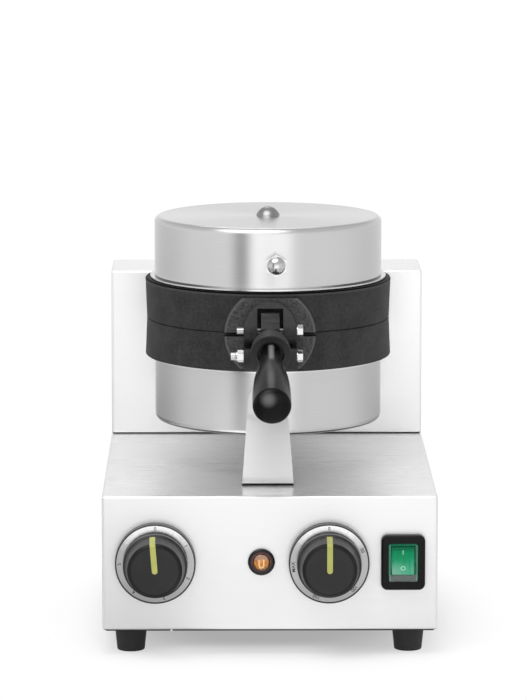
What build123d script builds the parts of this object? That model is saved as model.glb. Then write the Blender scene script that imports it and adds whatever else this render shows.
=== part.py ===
from build123d import *
import os
from math import cos, radians, sin, sqrt

os.makedirs("parts", exist_ok=True)

# Countertop press for sealed round burgers: a folded steel casing with a rear housing, and a round
# head of two hot cast plates whose lid swings up at the rear and is latched by a handle in front.
# Millimetres. X to the right, Y to the back, Z up, with Y = 0 at the front panel while modelling.

# Casing
base_width = 250.0
base_depth = 336.8
base_height = 101.9
sheet = 1.0
bend_radius = 2.0
flange_width = 14.0
housing_side_inset = 0.45
housing_depth = 68.0
housing_height = 132.5
bottom_sheet = 0.8
panel_inset = 2.5

# Feet and casing fasteners
foot_height = 19.5
foot_top_radius = 12.3
foot_bottom_radius = 10.3
foot_inset_x = 20.7
foot_inset_y = 28.0
foot_recess_radius = 6.0
foot_recess_depth = 11.0
foot_screw_radius = 2.5
foot_screw_end = 2.0
foot_nut_flats = 8.0
foot_nut_thickness = 4.0
case_screw_radius = 1.7
case_screw_length = 8.0
hole_clearance = 0.15
seat_clearance = 0.02
running_clearance = 0.05

# Rear cover
vent_length = 44.0
vent_width = 3.2
vent_pitch = 8.0
vent_count = 6
gland_from_side = 55.0
gland_height = 40.0
gland_bore_radius = 4.0
gland_shank_radius = 8.0
gland_flange_radius = 11.0
gland_flange_thickness = 4.0
gland_nose_length = 14.0
gland_inner_length = 8.0
gland_snap = 1.2
terminal_length = 54.0
terminal_width = 22.0
terminal_height = 18.0
terminal_pitch = 10.0
terminal_wire_radius = 2.5
terminal_screw_radius = 2.0
terminal_from_cover = 60.0

# Head
head_to_housing = 23.6
head_clearance = 34.1
cap_radius = 87.5
cap_edge_radius = 4.5
lower_cap_height = 48.6
upper_cap_height = 45.8
cap_flange_radius = 91.0
cap_flange_thickness = 1.1
cap_flange_step = 0.6
cap_flange_inner = 14.0
cap_flange_step_inset = 4.0
lower_ring_height = 28.8
upper_ring_height = 30.9
ring_radius_outer = 94.7
ring_radius_parting = 93.5
rim_wall = 14.0
plate_gap = 0.3
mould_radius = 57.5
mould_depth = 20.0
crimp_groove_radius = 62.0
crimp_groove_width = 3.0
crimp_groove_depth = 1.5
plate_wall = 6.0
land_thickness = 12.0
plateau_radius = 62.0
hub_height = 10.0
heater_tube_radius = 4.0
heater_elbow_radius = 4.6
heater_ring_radius = 71.0
heater_leg_length = 12.0
heater_open_angle = 30.0
insulation_gap = 0.3

# Cap fastenings
top_screw_head_radius = 9.1
top_screw_head_height = 6.5
top_screw_radius = 3.0
top_screw_slot_width = 1.8
top_screw_slot_depth = 2.2
top_hub_wall = 6.0
dome_nut_x = 5.4
dome_nut_height_above_flange = 18.7
dome_nut_flats = 14.5
dome_nut_length = 11.0
stud_radius = 4.0
stud_head_flats = 13.0
stud_head_thickness = 5.3
stud_washer = 1.2

# Conduit and thermostat probe
conduit_radius = 8.0
conduit_bore_radius = 5.0
conduit_nut_flats = 24.0
conduit_nut_thickness = 4.0
conduit_below_top = 12.0
conduit_hub_wall = 4.0
conduit_drop_in_hub = 3.0
probe_radius = 3.0
probe_length = 42.0
probe_wall = 2.0
capillary_radius = 1.0
capillary_bend_radius = 12.0
capillary_run = 40.0

# Support strip
strip_x = -1.1
strip_thickness = 3.0
strip_width = 39.0
strip_neck_width = 29.2
strip_lean = 24.6
strip_foot_length = 30.0
strip_bend_radius = 3.5
strip_upper_bend_radius = 20.0
strip_bolt_drop = 20.9
strip_screw_spacing = 20.0
strip_screw_length = 12.0

# Hinge
hinge_gap_to_housing = 14.8
hinge_rise = 26.6
hinge_pin_radius = 5.0
pin_head_radius = 7.5
pin_head_thickness = 3.0
clip_width = 1.2
clip_groove_depth = 0.8
clip_opening = 5.0
knuckle_radius = 9.5
knuckle_width = 53.0
hinge_side_gap = 0.5
bracket_ear_width = 10.0
bracket_ear_radius = 10.0
bracket_plate = 4.0
bracket_below_parting = 31.0
lug_width = 40.0
lug_height = 20.0
lug_below_parting = 7.0
lug_screw_radius = 3.0
lug_screw_spacing = 24.0
lug_screw_length = 18.0
bracket_screw_length = 10.0
lid_open_angle = 100.0

# Latch
latch_x = 0.6
latch_reach = 18.4
pivot_above_parting = 5.1
catch_below_parting = 14.0
latch_bolt_radius = 2.5
latch_bolt_flats = 8.0
latch_bolt_head = 3.8
latch_washer = 0.8
pivot_stub = 5.0
catch_stub = 4.0
catch_nut_length = 4.5
clevis_half_width = 19.9
clevis_slot_half_width = 9.75
upper_ear_radius = 9.8
lower_ear_radius = 11.5
lower_ear_top_drop = 7.4
boss_radius = 34.5
boss_proud = 3.4
boss_top = 27.3
boss_bottom = 26.0
boss_split = 1.6
boss_gap = 0.6
tongue_half_width = 6.85
tongue_radius = 13.5
hook_thickness = 8.5
hook_drop = 10.0
hook_clearance = 0.25
hook_rise = 14.0
tongue_neck_radius = 9.0

# Handle
handle_slope = 14.8
bell_start = 12.0
bell_end = 44.4
bell_radius = 15.0
bell_recess_radius = 10.0
bell_recess_depth = 4.0
grip_start = 40.7
grip_neck_radius = 7.4
grip_end = 137.4
grip_end_radius = 14.0
grip_end_bulge = 4.0
grip_edge_radius = 2.5
handle_rod_radius = 3.0
handle_rod_length = 92.0
handle_rod_inset = 8.0
handle_open_angle = 70.0

# Controls on the front panel
control_height = 52.2
timer_from_side = 39.8
switch_from_side = 25.8
thermostat_to_switch = 55.2
lamp_to_thermostat = 50.3
dial_radius = 30.0
dial_depth = 9.0
dial_rim = 0.7
dial_plate_drop = 0.4
knob_gap = 2.0
knob_skirt_radius = 23.9
knob_skirt_length = 7.0
knob_body_radius = 22.8
knob_front_radius = 20.3
knob_length = 24.0
knob_edge_radius = 1.8
knob_wall = 3.0
knob_hub_radius = 6.5
pointer_width = 4.2
pointer_proud = 0.25
pointer_depth = 1.0
timer_rest_angle = -4.7
bush_radius = 5.0
shaft_radius = 3.0
control_body_size = 38.0
control_body_depth = 24.0
lamp_bezel_radius = 10.0
lamp_bezel_depth = 3.0
lamp_lens_radius = 6.5
lamp_lens_depth = 5.0
lamp_lens_bulge = 2.0
lamp_body_radius = 5.8
lamp_body_length = 28.0

# Rocker switch
switch_width = 32.8
switch_height = 41.6
switch_corner = 4.8
switch_depth = 6.0
window_width = 22.0
window_height = 29.0
cover_depth = 7.5
cover_wall = 0.8
switch_body_depth = 24.0
rocker_width = 16.5
rocker_height = 20.5
rocker_tilt = 8.0
rocker_pivot_depth = 4.0
rocker_pivot_radius = 1.5
rocker_front = 3.4
rocker_valley = 2.2

# Derived levels
base_z = foot_height + bottom_sheet
top_z = base_z + base_height
housing_z = top_z + housing_height
housing_y = base_depth - housing_depth
half_width = base_width / 2
head_y = housing_y - head_to_housing - ring_radius_outer
strip_front_y = head_y - cap_radius - strip_lean
timer_x = timer_from_side - half_width
switch_x = half_width - switch_from_side
thermostat_x = switch_x - thermostat_to_switch
lamp_x = thermostat_x - lamp_to_thermostat
gland_x = gland_from_side - half_width
lower_cap_z = top_z + head_clearance
lower_flange_z = lower_cap_z + lower_cap_height
part_z = lower_flange_z + cap_flange_thickness + cap_flange_step + lower_ring_height + plate_gap / 2
upper_flange_z = part_z + plate_gap / 2 + upper_ring_height + cap_flange_step
upper_cap_z = upper_flange_z + cap_flange_thickness
upper_cap_top = upper_cap_z + upper_cap_height
ring_front_y = head_y - (ring_radius_outer + ring_radius_parting) / 2
control_z = base_z + control_height
hinge_y = housing_y - hinge_gap_to_housing
hinge_z = part_z + hinge_rise
latch_y = ring_front_y - latch_reach
pivot_z = part_z + pivot_above_parting
catch_z = part_z - catch_below_parting

pieces = {}
upwards = (Align.CENTER, Align.CENTER, Align.MIN)


def block(x0, x1, y0, y1, z0, z1):
    """Box between two corners."""
    size = Box(x1 - x0, y1 - y0, z1 - z0)
    return Pos((x0 + x1) / 2, (y0 + y1) / 2, (z0 + z1) / 2) * size


def rod(radius, start, end):
    """Round bar between two points."""
    start, end = Vector(*start), Vector(*end)
    bar = Cylinder(radius, (end - start).length, align=upwards)
    return Plane(origin=start, z_dir=end - start) * bar


def hex_bar(flats, start, end):
    """Hexagonal bar between two points."""
    start, end = Vector(*start), Vector(*end)
    outline = Plane(origin=start, z_dir=end - start) * RegularPolygon(flats / 2, 6, major_radius=False)
    return extrude(outline, amount=(end - start).length, dir=end - start)


def turned_over(piece):
    """The piece turned upside down about the Y axis."""
    return piece.rotate(Axis.Y, 180)


def side_plate(points, x0, x1):
    """Plate with a side outline of (y, z) points, from x0 to x1."""
    outline = Plane.YZ * make_face(Polyline(*points, close=True))
    return Pos(x0, 0, 0) * extrude(outline, amount=x1 - x0, dir=(1, 0, 0))


def turned(points, plane):
    """Turned solid from (radius, length) points, about the plane's own Y direction."""
    outline = plane * make_face(Polyline(*points, close=True))
    return revolve(outline, Axis(plane.origin, plane.y_dir))


def pan_screw(x, y, z, direction, radius, length):
    """Pan head screw whose head stands on the point, with its shank along direction."""
    way = Vector(*direction).normalized()
    seat = Vector(x, y, z)
    head_radius, head_height = radius * 2.0, radius * 1.2
    head = rod(head_radius, seat - way * head_height, seat)
    rims = head.edges().filter_by(GeomType.CIRCLE).sort_by(Axis(seat, way))
    head = fillet(rims[0], radius * 0.5)
    shank = rod(radius, seat, seat + way * length)
    slot = Plane(origin=seat - way * head_height, z_dir=way)
    cross = slot * (Box(head_radius * 1.1, radius * 0.4, radius) + Box(radius * 0.4, head_radius * 1.1, radius))
    return head + shank - cross


def folded_case(x0, x1, y0, y1, z0, z1):
    """Folded sheet case, open at the bottom and the rear inside an inward flange."""
    outer = block(x0, x1, y0, y1, z0, z1)
    outer = fillet(outer.edges() - outer.faces().sort_by(Axis.Y)[-1].edges(), bend_radius)
    inner = block(x0 + sheet, x1 - sheet, y0 + sheet, y1 - sheet, z0 + sheet, z1 - sheet)
    inner = fillet(inner.edges() - inner.faces().sort_by(Axis.Y)[-1].edges(), bend_radius - sheet)
    bottom = block(x0 + flange_width, x1 - flange_width, y0 + flange_width, y1 - flange_width,
                   z0 - sheet, z0 + 2 * sheet)
    rear = block(x0 + flange_width, x1 - flange_width, y1 - 2 * sheet, y1 + sheet,
                 z0 + flange_width, z1 - flange_width)
    return outer - inner - bottom - rear


# Places of the fasteners that join the casing
foot_places = {
    f"foot_{row}_{side}": (way * (half_width - foot_inset_x), y)
    for row, y in (("front", foot_inset_y), ("rear", base_depth - foot_inset_y))
    for side, way in (("left", -1), ("right", 1))
}
screw_line = flange_width / 2 + sheet
bottom_screw_places = [
    (way * (half_width - screw_line), y)
    for way in (-1, 1)
    for y in (foot_inset_y * 2.5, base_depth / 2, base_depth - foot_inset_y * 2.5)
]
cover_screw_places = [
    (way * (half_width - screw_line - housing_side_inset), z)
    for way in (-1, 1)
    for z in (base_z + screw_line, top_z - screw_line, top_z + screw_line, housing_z - screw_line)
]
strip_screw_places = [
    (strip_x + way * strip_screw_spacing / 2, strip_front_y + strip_foot_length * 0.6)
    for way in (-1, 1)
]
lug_screw_places = [
    (way * lug_screw_spacing / 2, part_z - lug_below_parting - lug_height / 2) for way in (-1, 1)
]
bracket_screw_places = [(way * (lug_width / 2 + bracket_ear_width), part_z - 24.0) for way in (-1, 1)]
gland_z = base_z + gland_height


def casing():
    """Base shell, bottom plate, rear housing and rear cover."""
    rear = base_depth - sheet
    base = folded_case(-half_width, half_width, 0, rear, base_z, top_z)
    housing_half = half_width - housing_side_inset
    housing = folded_case(-housing_half, housing_half, housing_y, rear, top_z, housing_z)
    passage = block(-housing_half + flange_width, housing_half - flange_width,
                    housing_y + flange_width, rear - flange_width, top_z - 2 * sheet, top_z + sheet)
    base -= passage
    for x in (timer_x, thermostat_x):
        base -= rod(bush_radius + hole_clearance, (x, -sheet, control_z), (x, 2 * sheet, control_z))
    base -= rod(lamp_body_radius + hole_clearance, (lamp_x, -sheet, control_z), (lamp_x, 2 * sheet, control_z))
    base -= block(switch_x - window_width / 2, switch_x + window_width / 2, -sheet, 2 * sheet,
                  control_z - window_height / 2, control_z + window_height / 2)
    base -= rod(conduit_radius + hole_clearance, (0, head_y, top_z - 2 * sheet), (0, head_y, top_z + sheet))
    for x, y in strip_screw_places:
        base -= rod(foot_screw_radius + seat_clearance, (x, y, top_z - 2 * sheet), (x, y, top_z + sheet))

    bottom = block(-half_width + panel_inset, half_width - panel_inset, panel_inset, rear - panel_inset,
                   foot_height, base_z)
    for x, y in foot_places.values():
        bottom -= rod(foot_screw_radius + hole_clearance, (x, y, foot_height - 1), (x, y, base_z + 1))
    for x, y in bottom_screw_places:
        bottom -= rod(case_screw_radius + hole_clearance, (x, y, foot_height - 1), (x, y, base_z + 1))
        base -= rod(case_screw_radius + seat_clearance, (x, y, base_z - 1), (x, y, base_z + 2 * sheet))

    cover = block(-half_width + panel_inset, half_width - panel_inset, rear, base_depth,
                  base_z + panel_inset, housing_z - panel_inset)
    for x, z in cover_screw_places:
        cover -= rod(case_screw_radius + hole_clearance, (x, rear - 1, z), (x, base_depth + 1, z))
        thread = rod(case_screw_radius + seat_clearance, (x, rear - 2 * sheet, z), (x, rear + sheet, z))
        if z < top_z:
            base -= thread
        else:
            housing -= thread
    vent = Plane.XZ * SlotOverall(vent_length, vent_width)
    for x in (-vent_length * 0.75, vent_length * 0.75):
        for level in (top_z - base_height / 2, top_z + housing_height / 2):
            for step in range(vent_count):
                z = level + (step - (vent_count - 1) / 2) * vent_pitch
                if abs(z - gland_z) < gland_flange_radius + vent_width and x < 0:
                    continue
                cover -= Pos(x, base_depth + sheet, z) * extrude(vent, amount=3 * sheet, dir=(0, -1, 0))
    cover -= rod(gland_shank_radius + hole_clearance, (gland_x, rear - 1, gland_z),
                 (gland_x, base_depth + 1, gland_z))

    for x, z in lug_screw_places:
        housing -= rod(lug_screw_radius + hole_clearance, (x, housing_y - 1, z), (x, housing_y + 2 * sheet, z))
    for x, z in bracket_screw_places:
        housing -= rod(foot_screw_radius + seat_clearance, (x, housing_y - 1, z), (x, housing_y + 2 * sheet, z))
    pieces["base_shell"] = base
    pieces["bottom_plate"] = bottom
    pieces["rear_housing"] = housing
    pieces["rear_cover"] = cover


def feet_and_screws():
    """Rubber feet with their screws and nuts, and the screws of the bottom plate and rear cover."""
    screws = []
    for name, (x, y) in foot_places.items():
        foot = Cone(foot_bottom_radius, foot_top_radius, foot_height, align=upwards)
        foot = fillet(foot.edges().sort_by(Axis.Z)[0], 1.0)
        foot -= Cylinder(foot_recess_radius, foot_recess_depth, align=upwards)
        foot -= Cylinder(foot_screw_radius + hole_clearance, foot_height * 3)
        pieces[name] = Pos(x, y, 0) * foot
        nut_top = base_z + foot_nut_thickness
        length = nut_top + foot_screw_end - foot_recess_depth
        screws.append(pan_screw(x, y, foot_recess_depth, (0, 0, 1), foot_screw_radius, length))
        nut = hex_bar(foot_nut_flats, (x, y, base_z), (x, y, nut_top))
        screws.append(nut - rod(foot_screw_radius + seat_clearance, (x, y, base_z - 1), (x, y, nut_top + 1)))
    pieces["foot_screws"] = Compound(children=screws)
    case_screws = [
        pan_screw(x, y, foot_height, (0, 0, 1), case_screw_radius, case_screw_length)
        for x, y in bottom_screw_places
    ]
    case_screws += [
        pan_screw(x, base_depth, z, (0, -1, 0), case_screw_radius, case_screw_length)
        for x, z in cover_screw_places
    ]
    pieces["case_screws"] = Compound(children=case_screws)


def rear_fittings():
    """Snap-in cord gland in the rear cover, and the terminal block behind it."""
    inner_y = base_depth - sheet
    flange_y = base_depth + gland_flange_thickness
    nose_y = flange_y + gland_nose_length
    nose = Cone(gland_shank_radius, gland_bore_radius + 2.0, gland_nose_length,
                align=upwards)
    nose = Plane(origin=(gland_x, flange_y, gland_z), z_dir=(0, 1, 0)) * nose
    gland = rod(gland_flange_radius, (gland_x, base_depth, gland_z), (gland_x, flange_y, gland_z)) + nose
    inner_end = inner_y - gland_inner_length
    gland += rod(gland_shank_radius, (gland_x, inner_end, gland_z), (gland_x, base_depth, gland_z))
    gland += rod(gland_shank_radius + gland_snap, (gland_x, inner_end + 2, gland_z),
                 (gland_x, inner_y - seat_clearance, gland_z))
    gland -= rod(gland_bore_radius, (gland_x, inner_end - 1, gland_z), (gland_x, nose_y + 1, gland_z))
    pieces["cord_gland"] = gland
    back = base_depth - terminal_from_cover
    front, middle = back - terminal_width, back - terminal_width / 2
    half, hole_z = terminal_length / 2, base_z + terminal_height * 0.45
    terminal = block(gland_x - half, gland_x + half, front, back, base_z, base_z + terminal_height)
    for step in range(-2, 3):
        x = gland_x + step * terminal_pitch
        terminal -= rod(terminal_wire_radius, (x, front - 1, hole_z), (x, back + 1, hole_z))
        for y in (middle - terminal_width / 4, middle + terminal_width / 4):
            terminal -= rod(terminal_screw_radius, (x, y, hole_z), (x, y, base_z + terminal_height + 1))
    pieces["terminal_block"] = terminal


def plate_blank(ring_height):
    """Cast plate above its parting face at Z = 0, with its mould, crimp groove and heater recess."""
    plate = Cone(ring_radius_parting, ring_radius_outer, ring_height, align=upwards)
    plate = fillet(plate.edges().sort_by(Axis.Z)[-1], 1.2)
    plate = chamfer(plate.edges().sort_by(Axis.Z)[0], 0.5)
    rim_inner = ring_radius_outer - rim_wall
    recess = Cylinder(rim_inner, ring_height, align=upwards) - Cylinder(plateau_radius, ring_height, align=upwards)
    plate -= Pos(0, 0, land_thickness) * recess
    back = mould_depth + plate_wall
    plate -= Pos(0, 0, back) * Cylinder(plateau_radius, ring_height, align=upwards)
    ball_radius = (mould_radius**2 + mould_depth**2) / (2 * mould_depth)
    plate -= Pos(0, 0, mould_depth - ball_radius) * Sphere(ball_radius)
    groove = Cylinder(crimp_groove_radius + crimp_groove_width / 2, 2 * crimp_groove_depth)
    groove -= Cylinder(crimp_groove_radius - crimp_groove_width / 2, 2 * crimp_groove_depth)
    return plate - groove


def half_boss(above):
    """Half of the round boss on the ring's front, cut short of the parting plane."""
    depth = boss_radius**2 / (2 * ring_radius_parting) + boss_proud + 6
    front = ring_front_y - boss_proud
    left, right = latch_x - boss_radius - 1, latch_x + boss_radius + 1
    boss = rod(boss_radius, (latch_x, front, part_z), (latch_x, front + depth, part_z))
    boss = fillet(boss.edges().sort_by(Axis.Y)[0], 1.2)
    if above:
        return boss & block(left, right, front - 1, head_y, part_z + boss_split, part_z + boss_top)
    return boss & block(left, right, front - 1, head_y, part_z - boss_bottom, part_z - boss_split)


def clevis_slot(z0, z1):
    return block(latch_x - clevis_slot_half_width, latch_x + clevis_slot_half_width,
                 latch_y - 40, ring_front_y - boss_proud, z0, z1)


def upper_clevis():
    """Arched pair of ears that holds the handle's pivot bolt."""
    x0, x1 = latch_x - clevis_half_width, latch_x + clevis_half_width
    back = ring_front_y + 4
    arch_z = pivot_z + 0.8
    top = arch_z + clevis_half_width
    nose = upper_ear_radius * cos(radians(30))
    rise = upper_ear_radius * sin(radians(30))
    sides = side_plate([(back, pivot_z - upper_ear_radius), (latch_y, pivot_z - upper_ear_radius),
                        (latch_y - nose, pivot_z + rise), (latch_y + 7, top), (back, top)], x0, x1)
    sides += rod(upper_ear_radius, (x0, latch_y, pivot_z), (x1, latch_y, pivot_z))
    arch = rod(clevis_half_width, (latch_x, latch_y - 30, arch_z), (latch_x, back, arch_z))
    arch += block(x0, x1, latch_y - 30, back, pivot_z - 20, arch_z)
    boss_front = ring_front_y - boss_proud
    below = block(x0 - 1, x1 + 1, boss_front - boss_gap, back + 1, pivot_z - 20, part_z + boss_split)
    return (sides & arch) - clevis_slot(pivot_z - 30, top - 4.3) - below


def lower_clevis():
    """Pair of ears that holds the catch bolt."""
    x0, x1 = latch_x - clevis_half_width, latch_x + clevis_half_width
    back = ring_front_y + 4
    top = part_z - lower_ear_top_drop
    ears = rod(lower_ear_radius, (x0, latch_y, catch_z), (x1, latch_y, catch_z))
    ears += block(x0, x1, latch_y, back, catch_z - lower_ear_radius, top)
    ears &= block(x0, x1, latch_y - 20, back, catch_z - 20, top)
    return ears - clevis_slot(catch_z - 20, top + 1)


def latch_hole(z):
    hole = latch_bolt_radius + running_clearance
    return rod(hole, (latch_x - 30, latch_y, z), (latch_x + 30, latch_y, z))


def lower_plate():
    """Lower casting, bolted to the housing by a rear lug and held in front by the strip."""
    plate = turned_over(plate_blank(lower_ring_height))
    face = part_z - plate_gap / 2
    plate = Pos(0, head_y, face) * plate
    hub_z = face - mould_depth - plate_wall
    hub = rod(conduit_radius + conduit_hub_wall, (0, head_y, hub_z + 1), (0, head_y, hub_z - hub_height))
    socket_z = hub_z - conduit_drop_in_hub
    hub -= rod(conduit_radius + seat_clearance, (0, head_y, socket_z), (0, head_y, hub_z - hub_height - 1))
    plate += hub
    plate -= rod(probe_radius + hole_clearance, (0, head_y, socket_z - 1),
                 (0, head_y, face - mould_depth - probe_wall))
    plate += half_boss(False)
    plate += lower_clevis()
    plate -= latch_hole(catch_z)
    lug_top = part_z - lug_below_parting
    lug_back = housing_y - bracket_plate
    plate += block(-lug_width / 2, lug_width / 2, head_y + ring_radius_parting - rim_wall / 2, lug_back,
                   lug_top - lug_height, lug_top)
    for x, z in lug_screw_places:
        plate -= rod(lug_screw_radius + seat_clearance, (x, lug_back - 16, z), (x, lug_back + 1, z))
    pieces["lower_plate"] = plate


def upper_plate():
    """Upper casting of the lid, with its hinge arm behind and its clevis in front."""
    face = part_z + plate_gap / 2
    plate = Pos(0, head_y, face) * plate_blank(upper_ring_height)
    hub_z = face + mould_depth + plate_wall
    hub = rod(top_screw_radius + top_hub_wall, (0, head_y, hub_z - 1), (0, head_y, hub_z + hub_height))
    plate += hub
    plate -= rod(top_screw_radius + seat_clearance, (0, head_y, hub_z - 1), (0, head_y, hub_z + hub_height + 1))
    plate += half_boss(True)
    plate += upper_clevis()
    plate -= latch_hole(pivot_z)
    inner = head_y + ring_radius_parting - rim_wall / 2
    arm = side_plate([(inner, part_z + 8), (hinge_y - 6, part_z + 8), (hinge_y, hinge_z - knuckle_radius),
                      (hinge_y, hinge_z + 3), (inner, hinge_z + 3)],
                     -knuckle_width / 2, knuckle_width / 2)
    knuckle = rod(knuckle_radius, (-knuckle_width / 2, hinge_y, hinge_z), (knuckle_width / 2, hinge_y, hinge_z))
    plate += arm + knuckle
    bore = hinge_pin_radius + running_clearance
    plate -= rod(bore, (-knuckle_width, hinge_y, hinge_z), (knuckle_width, hinge_y, hinge_z))
    pieces["upper_plate"] = plate


def cap_flange(bottom_z, above):
    """Bright ring between a cap and its casting, with a step that holds it off the casting."""
    inner = cap_radius - cap_flange_inner
    flange = Cylinder(cap_flange_radius, cap_flange_thickness, align=upwards)
    step = Cylinder(cap_radius - cap_flange_step_inset, cap_flange_step, align=upwards)
    step_z = -cap_flange_step if above else cap_flange_thickness
    flange += Pos(0, 0, step_z) * step
    flange -= Cylinder(inner, 10)
    return Pos(0, head_y, bottom_z) * flange


def cap_shell(height):
    """Steel cap with its closed end up and its open end at Z = 0."""
    outer = Cylinder(cap_radius, height, align=upwards)
    outer = fillet(outer.edges().sort_by(Axis.Z)[-1], cap_edge_radius)
    inner = Cylinder(cap_radius - sheet, height - sheet, align=upwards)
    inner = fillet(inner.edges().sort_by(Axis.Z)[-1], cap_edge_radius - sheet)
    return outer - inner


upper_stud_z = upper_cap_z + dome_nut_height_above_flange
strip_bolt_z = lower_flange_z - strip_bolt_drop


def cap_front(x):
    """Y of the cap's front wall at x."""
    return head_y - sqrt(cap_radius**2 - x**2)


def caps():
    """The two caps, their flange rings, heaters and insulation."""
    pieces["lower_flange"] = cap_flange(lower_flange_z, False)
    pieces["upper_flange"] = cap_flange(upper_flange_z, True)
    hole = stud_radius + hole_clearance
    upper = Pos(0, head_y, upper_cap_z) * cap_shell(upper_cap_height)
    upper -= rod(top_screw_radius + hole_clearance, (0, head_y, upper_cap_z), (0, head_y, upper_cap_top + 1))
    upper -= rod(hole, (dome_nut_x, head_y - cap_radius - 1, upper_stud_z), (dome_nut_x, head_y, upper_stud_z))
    lower = Pos(0, head_y, lower_flange_z) * turned_over(cap_shell(lower_cap_height))
    lower -= rod(conduit_radius + hole_clearance, (0, head_y, lower_cap_z - 1), (0, head_y, lower_flange_z))
    lower -= rod(hole, (strip_x, head_y - cap_radius - 1, strip_bolt_z), (strip_x, head_y, strip_bolt_z))
    pieces["upper_cap"] = upper
    pieces["lower_cap"] = lower

    ring_z = land_thickness + heater_elbow_radius + 0.1
    open_angle = heater_open_angle / 2
    heater = Torus(heater_ring_radius, heater_tube_radius, major_angle=360 - heater_open_angle)
    heater = Rot(0, 0, 90 + open_angle) * heater
    gap = heater_ring_radius * sin(radians(open_angle))
    leg_y = heater_ring_radius * cos(radians(open_angle))
    for way in (-1, 1):
        heater += Pos(way * gap, leg_y, 0) * Sphere(heater_elbow_radius)
        heater += rod(heater_tube_radius, (way * gap, leg_y, 0), (way * gap, leg_y, heater_leg_length))
    face = plate_gap / 2
    pieces["upper_heater"] = Pos(0, head_y, part_z + face + ring_z) * heater
    pieces["lower_heater"] = Pos(0, head_y, part_z - face - ring_z) * turned_over(heater)

    pad_radius = cap_radius - sheet - insulation_gap
    leg_end = ring_z + heater_leg_length + face + insulation_gap
    upper_pad_z = part_z + leg_end
    upper_pad_top = upper_cap_top - sheet - insulation_gap
    pad = rod(pad_radius, (0, head_y, upper_cap_z + 4), (0, head_y, upper_pad_top))
    pad = fillet(pad.edges().sort_by(Axis.Z)[-1], cap_edge_radius)
    pad += rod(rim_pad_radius(), (0, head_y, upper_pad_z), (0, head_y, upper_cap_z + 5))
    pad -= rod(top_screw_radius + top_hub_wall + 1, (0, head_y, part_z), (0, head_y, upper_cap_top))
    pad -= stud_pocket(dome_nut_x, upper_stud_z)
    pieces["upper_insulation"] = pad
    lower_pad_z = part_z - leg_end
    pad = rod(pad_radius, (0, head_y, lower_cap_z + sheet + insulation_gap), (0, head_y, lower_flange_z - 4))
    pad = fillet(pad.edges().sort_by(Axis.Z)[0], cap_edge_radius)
    pad += rod(rim_pad_radius(), (0, head_y, lower_flange_z - 5), (0, head_y, lower_pad_z))
    pad -= rod(conduit_nut_flats / 2 + 3, (0, head_y, lower_cap_z), (0, head_y, part_z))
    pad -= stud_pocket(strip_x, strip_bolt_z)
    pieces["lower_insulation"] = pad


def rim_pad_radius():
    """Radius of the part of the insulation that goes down inside the flange ring."""
    return cap_radius - cap_flange_inner - insulation_gap


def stud_pocket(x, z):
    """Room in the insulation for the inner nut of a stud."""
    return rod(dome_nut_flats / 2 + 2, (x, head_y - cap_radius, z), (x, head_y - cap_radius + 14, z))


def dome_nut(x, seat_y, z):
    """Hexagonal dome nut with its flat seat at seat_y, facing forward, and its blind thread."""
    hex_length = dome_nut_length * 0.55
    front = seat_y - dome_nut_length
    body = hex_bar(dome_nut_flats, (x, seat_y, z), (x, seat_y - hex_length, z))
    dome_radius = dome_nut_flats / 2 * 0.96
    dome = Pos(x, seat_y - hex_length, z) * scaled_ball(dome_radius, dome_nut_length - hex_length)
    nut = body + (dome & block(x - 20, x + 20, front - 1, seat_y - hex_length, z - 20, z + 20))
    return nut - rod(stud_radius + seat_clearance, (x, seat_y + 1, z), (x, seat_y - hex_length, z))


def scaled_ball(radius, depth):
    """Ball pressed to the given half depth along Y."""
    return scale(Sphere(radius), by=(1, depth / radius, 1))


def cap_fasteners():
    """Top screw, the dome nuts in front and their studs."""
    seat = upper_cap_top
    dome_ball = (top_screw_head_radius**2 + top_screw_head_height**2) / (2 * top_screw_head_height)
    head = Pos(0, head_y, seat + top_screw_head_height - dome_ball) * Sphere(dome_ball)
    head &= rod(top_screw_head_radius, (0, head_y, seat), (0, head_y, seat + 2 * top_screw_head_height))
    hub_z = part_z + plate_gap / 2 + mould_depth + plate_wall
    screw = head + rod(top_screw_radius, (0, head_y, hub_z - 1 + seat_clearance), (0, head_y, seat + 1))
    half, slot_z = top_screw_slot_width / 2, seat + top_screw_head_height - top_screw_slot_depth
    screw -= block(-top_screw_head_radius - 1, top_screw_head_radius + 1, head_y - half, head_y + half,
                   slot_z, seat + 2 * top_screw_head_height)
    pieces["top_screw"] = screw

    upper_seat = cap_front(dome_nut_x)
    pieces["upper_dome_nut"] = dome_nut(dome_nut_x, upper_seat - 0.3, upper_stud_z)
    pieces["upper_stud"] = stud(dome_nut_x, upper_seat - 0.3, upper_stud_z)
    lower_seat = cap_front(0) - strip_thickness
    pieces["lower_dome_nut"] = dome_nut(strip_x, lower_seat - seat_clearance, strip_bolt_z)
    pieces["strip_bolt"] = stud(strip_x, lower_seat - seat_clearance, strip_bolt_z)


def stud(x, nut_seat, z):
    """Threaded stud in a dome nut, with its hexagonal head inside the cap."""
    inside = cap_front(0) + sheet + stud_washer
    shank = rod(stud_radius, (x, nut_seat - dome_nut_length * 0.5, z), (x, inside + 1, z))
    return shank + hex_bar(stud_head_flats, (x, inside, z), (x, inside + stud_head_thickness, z))


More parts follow.
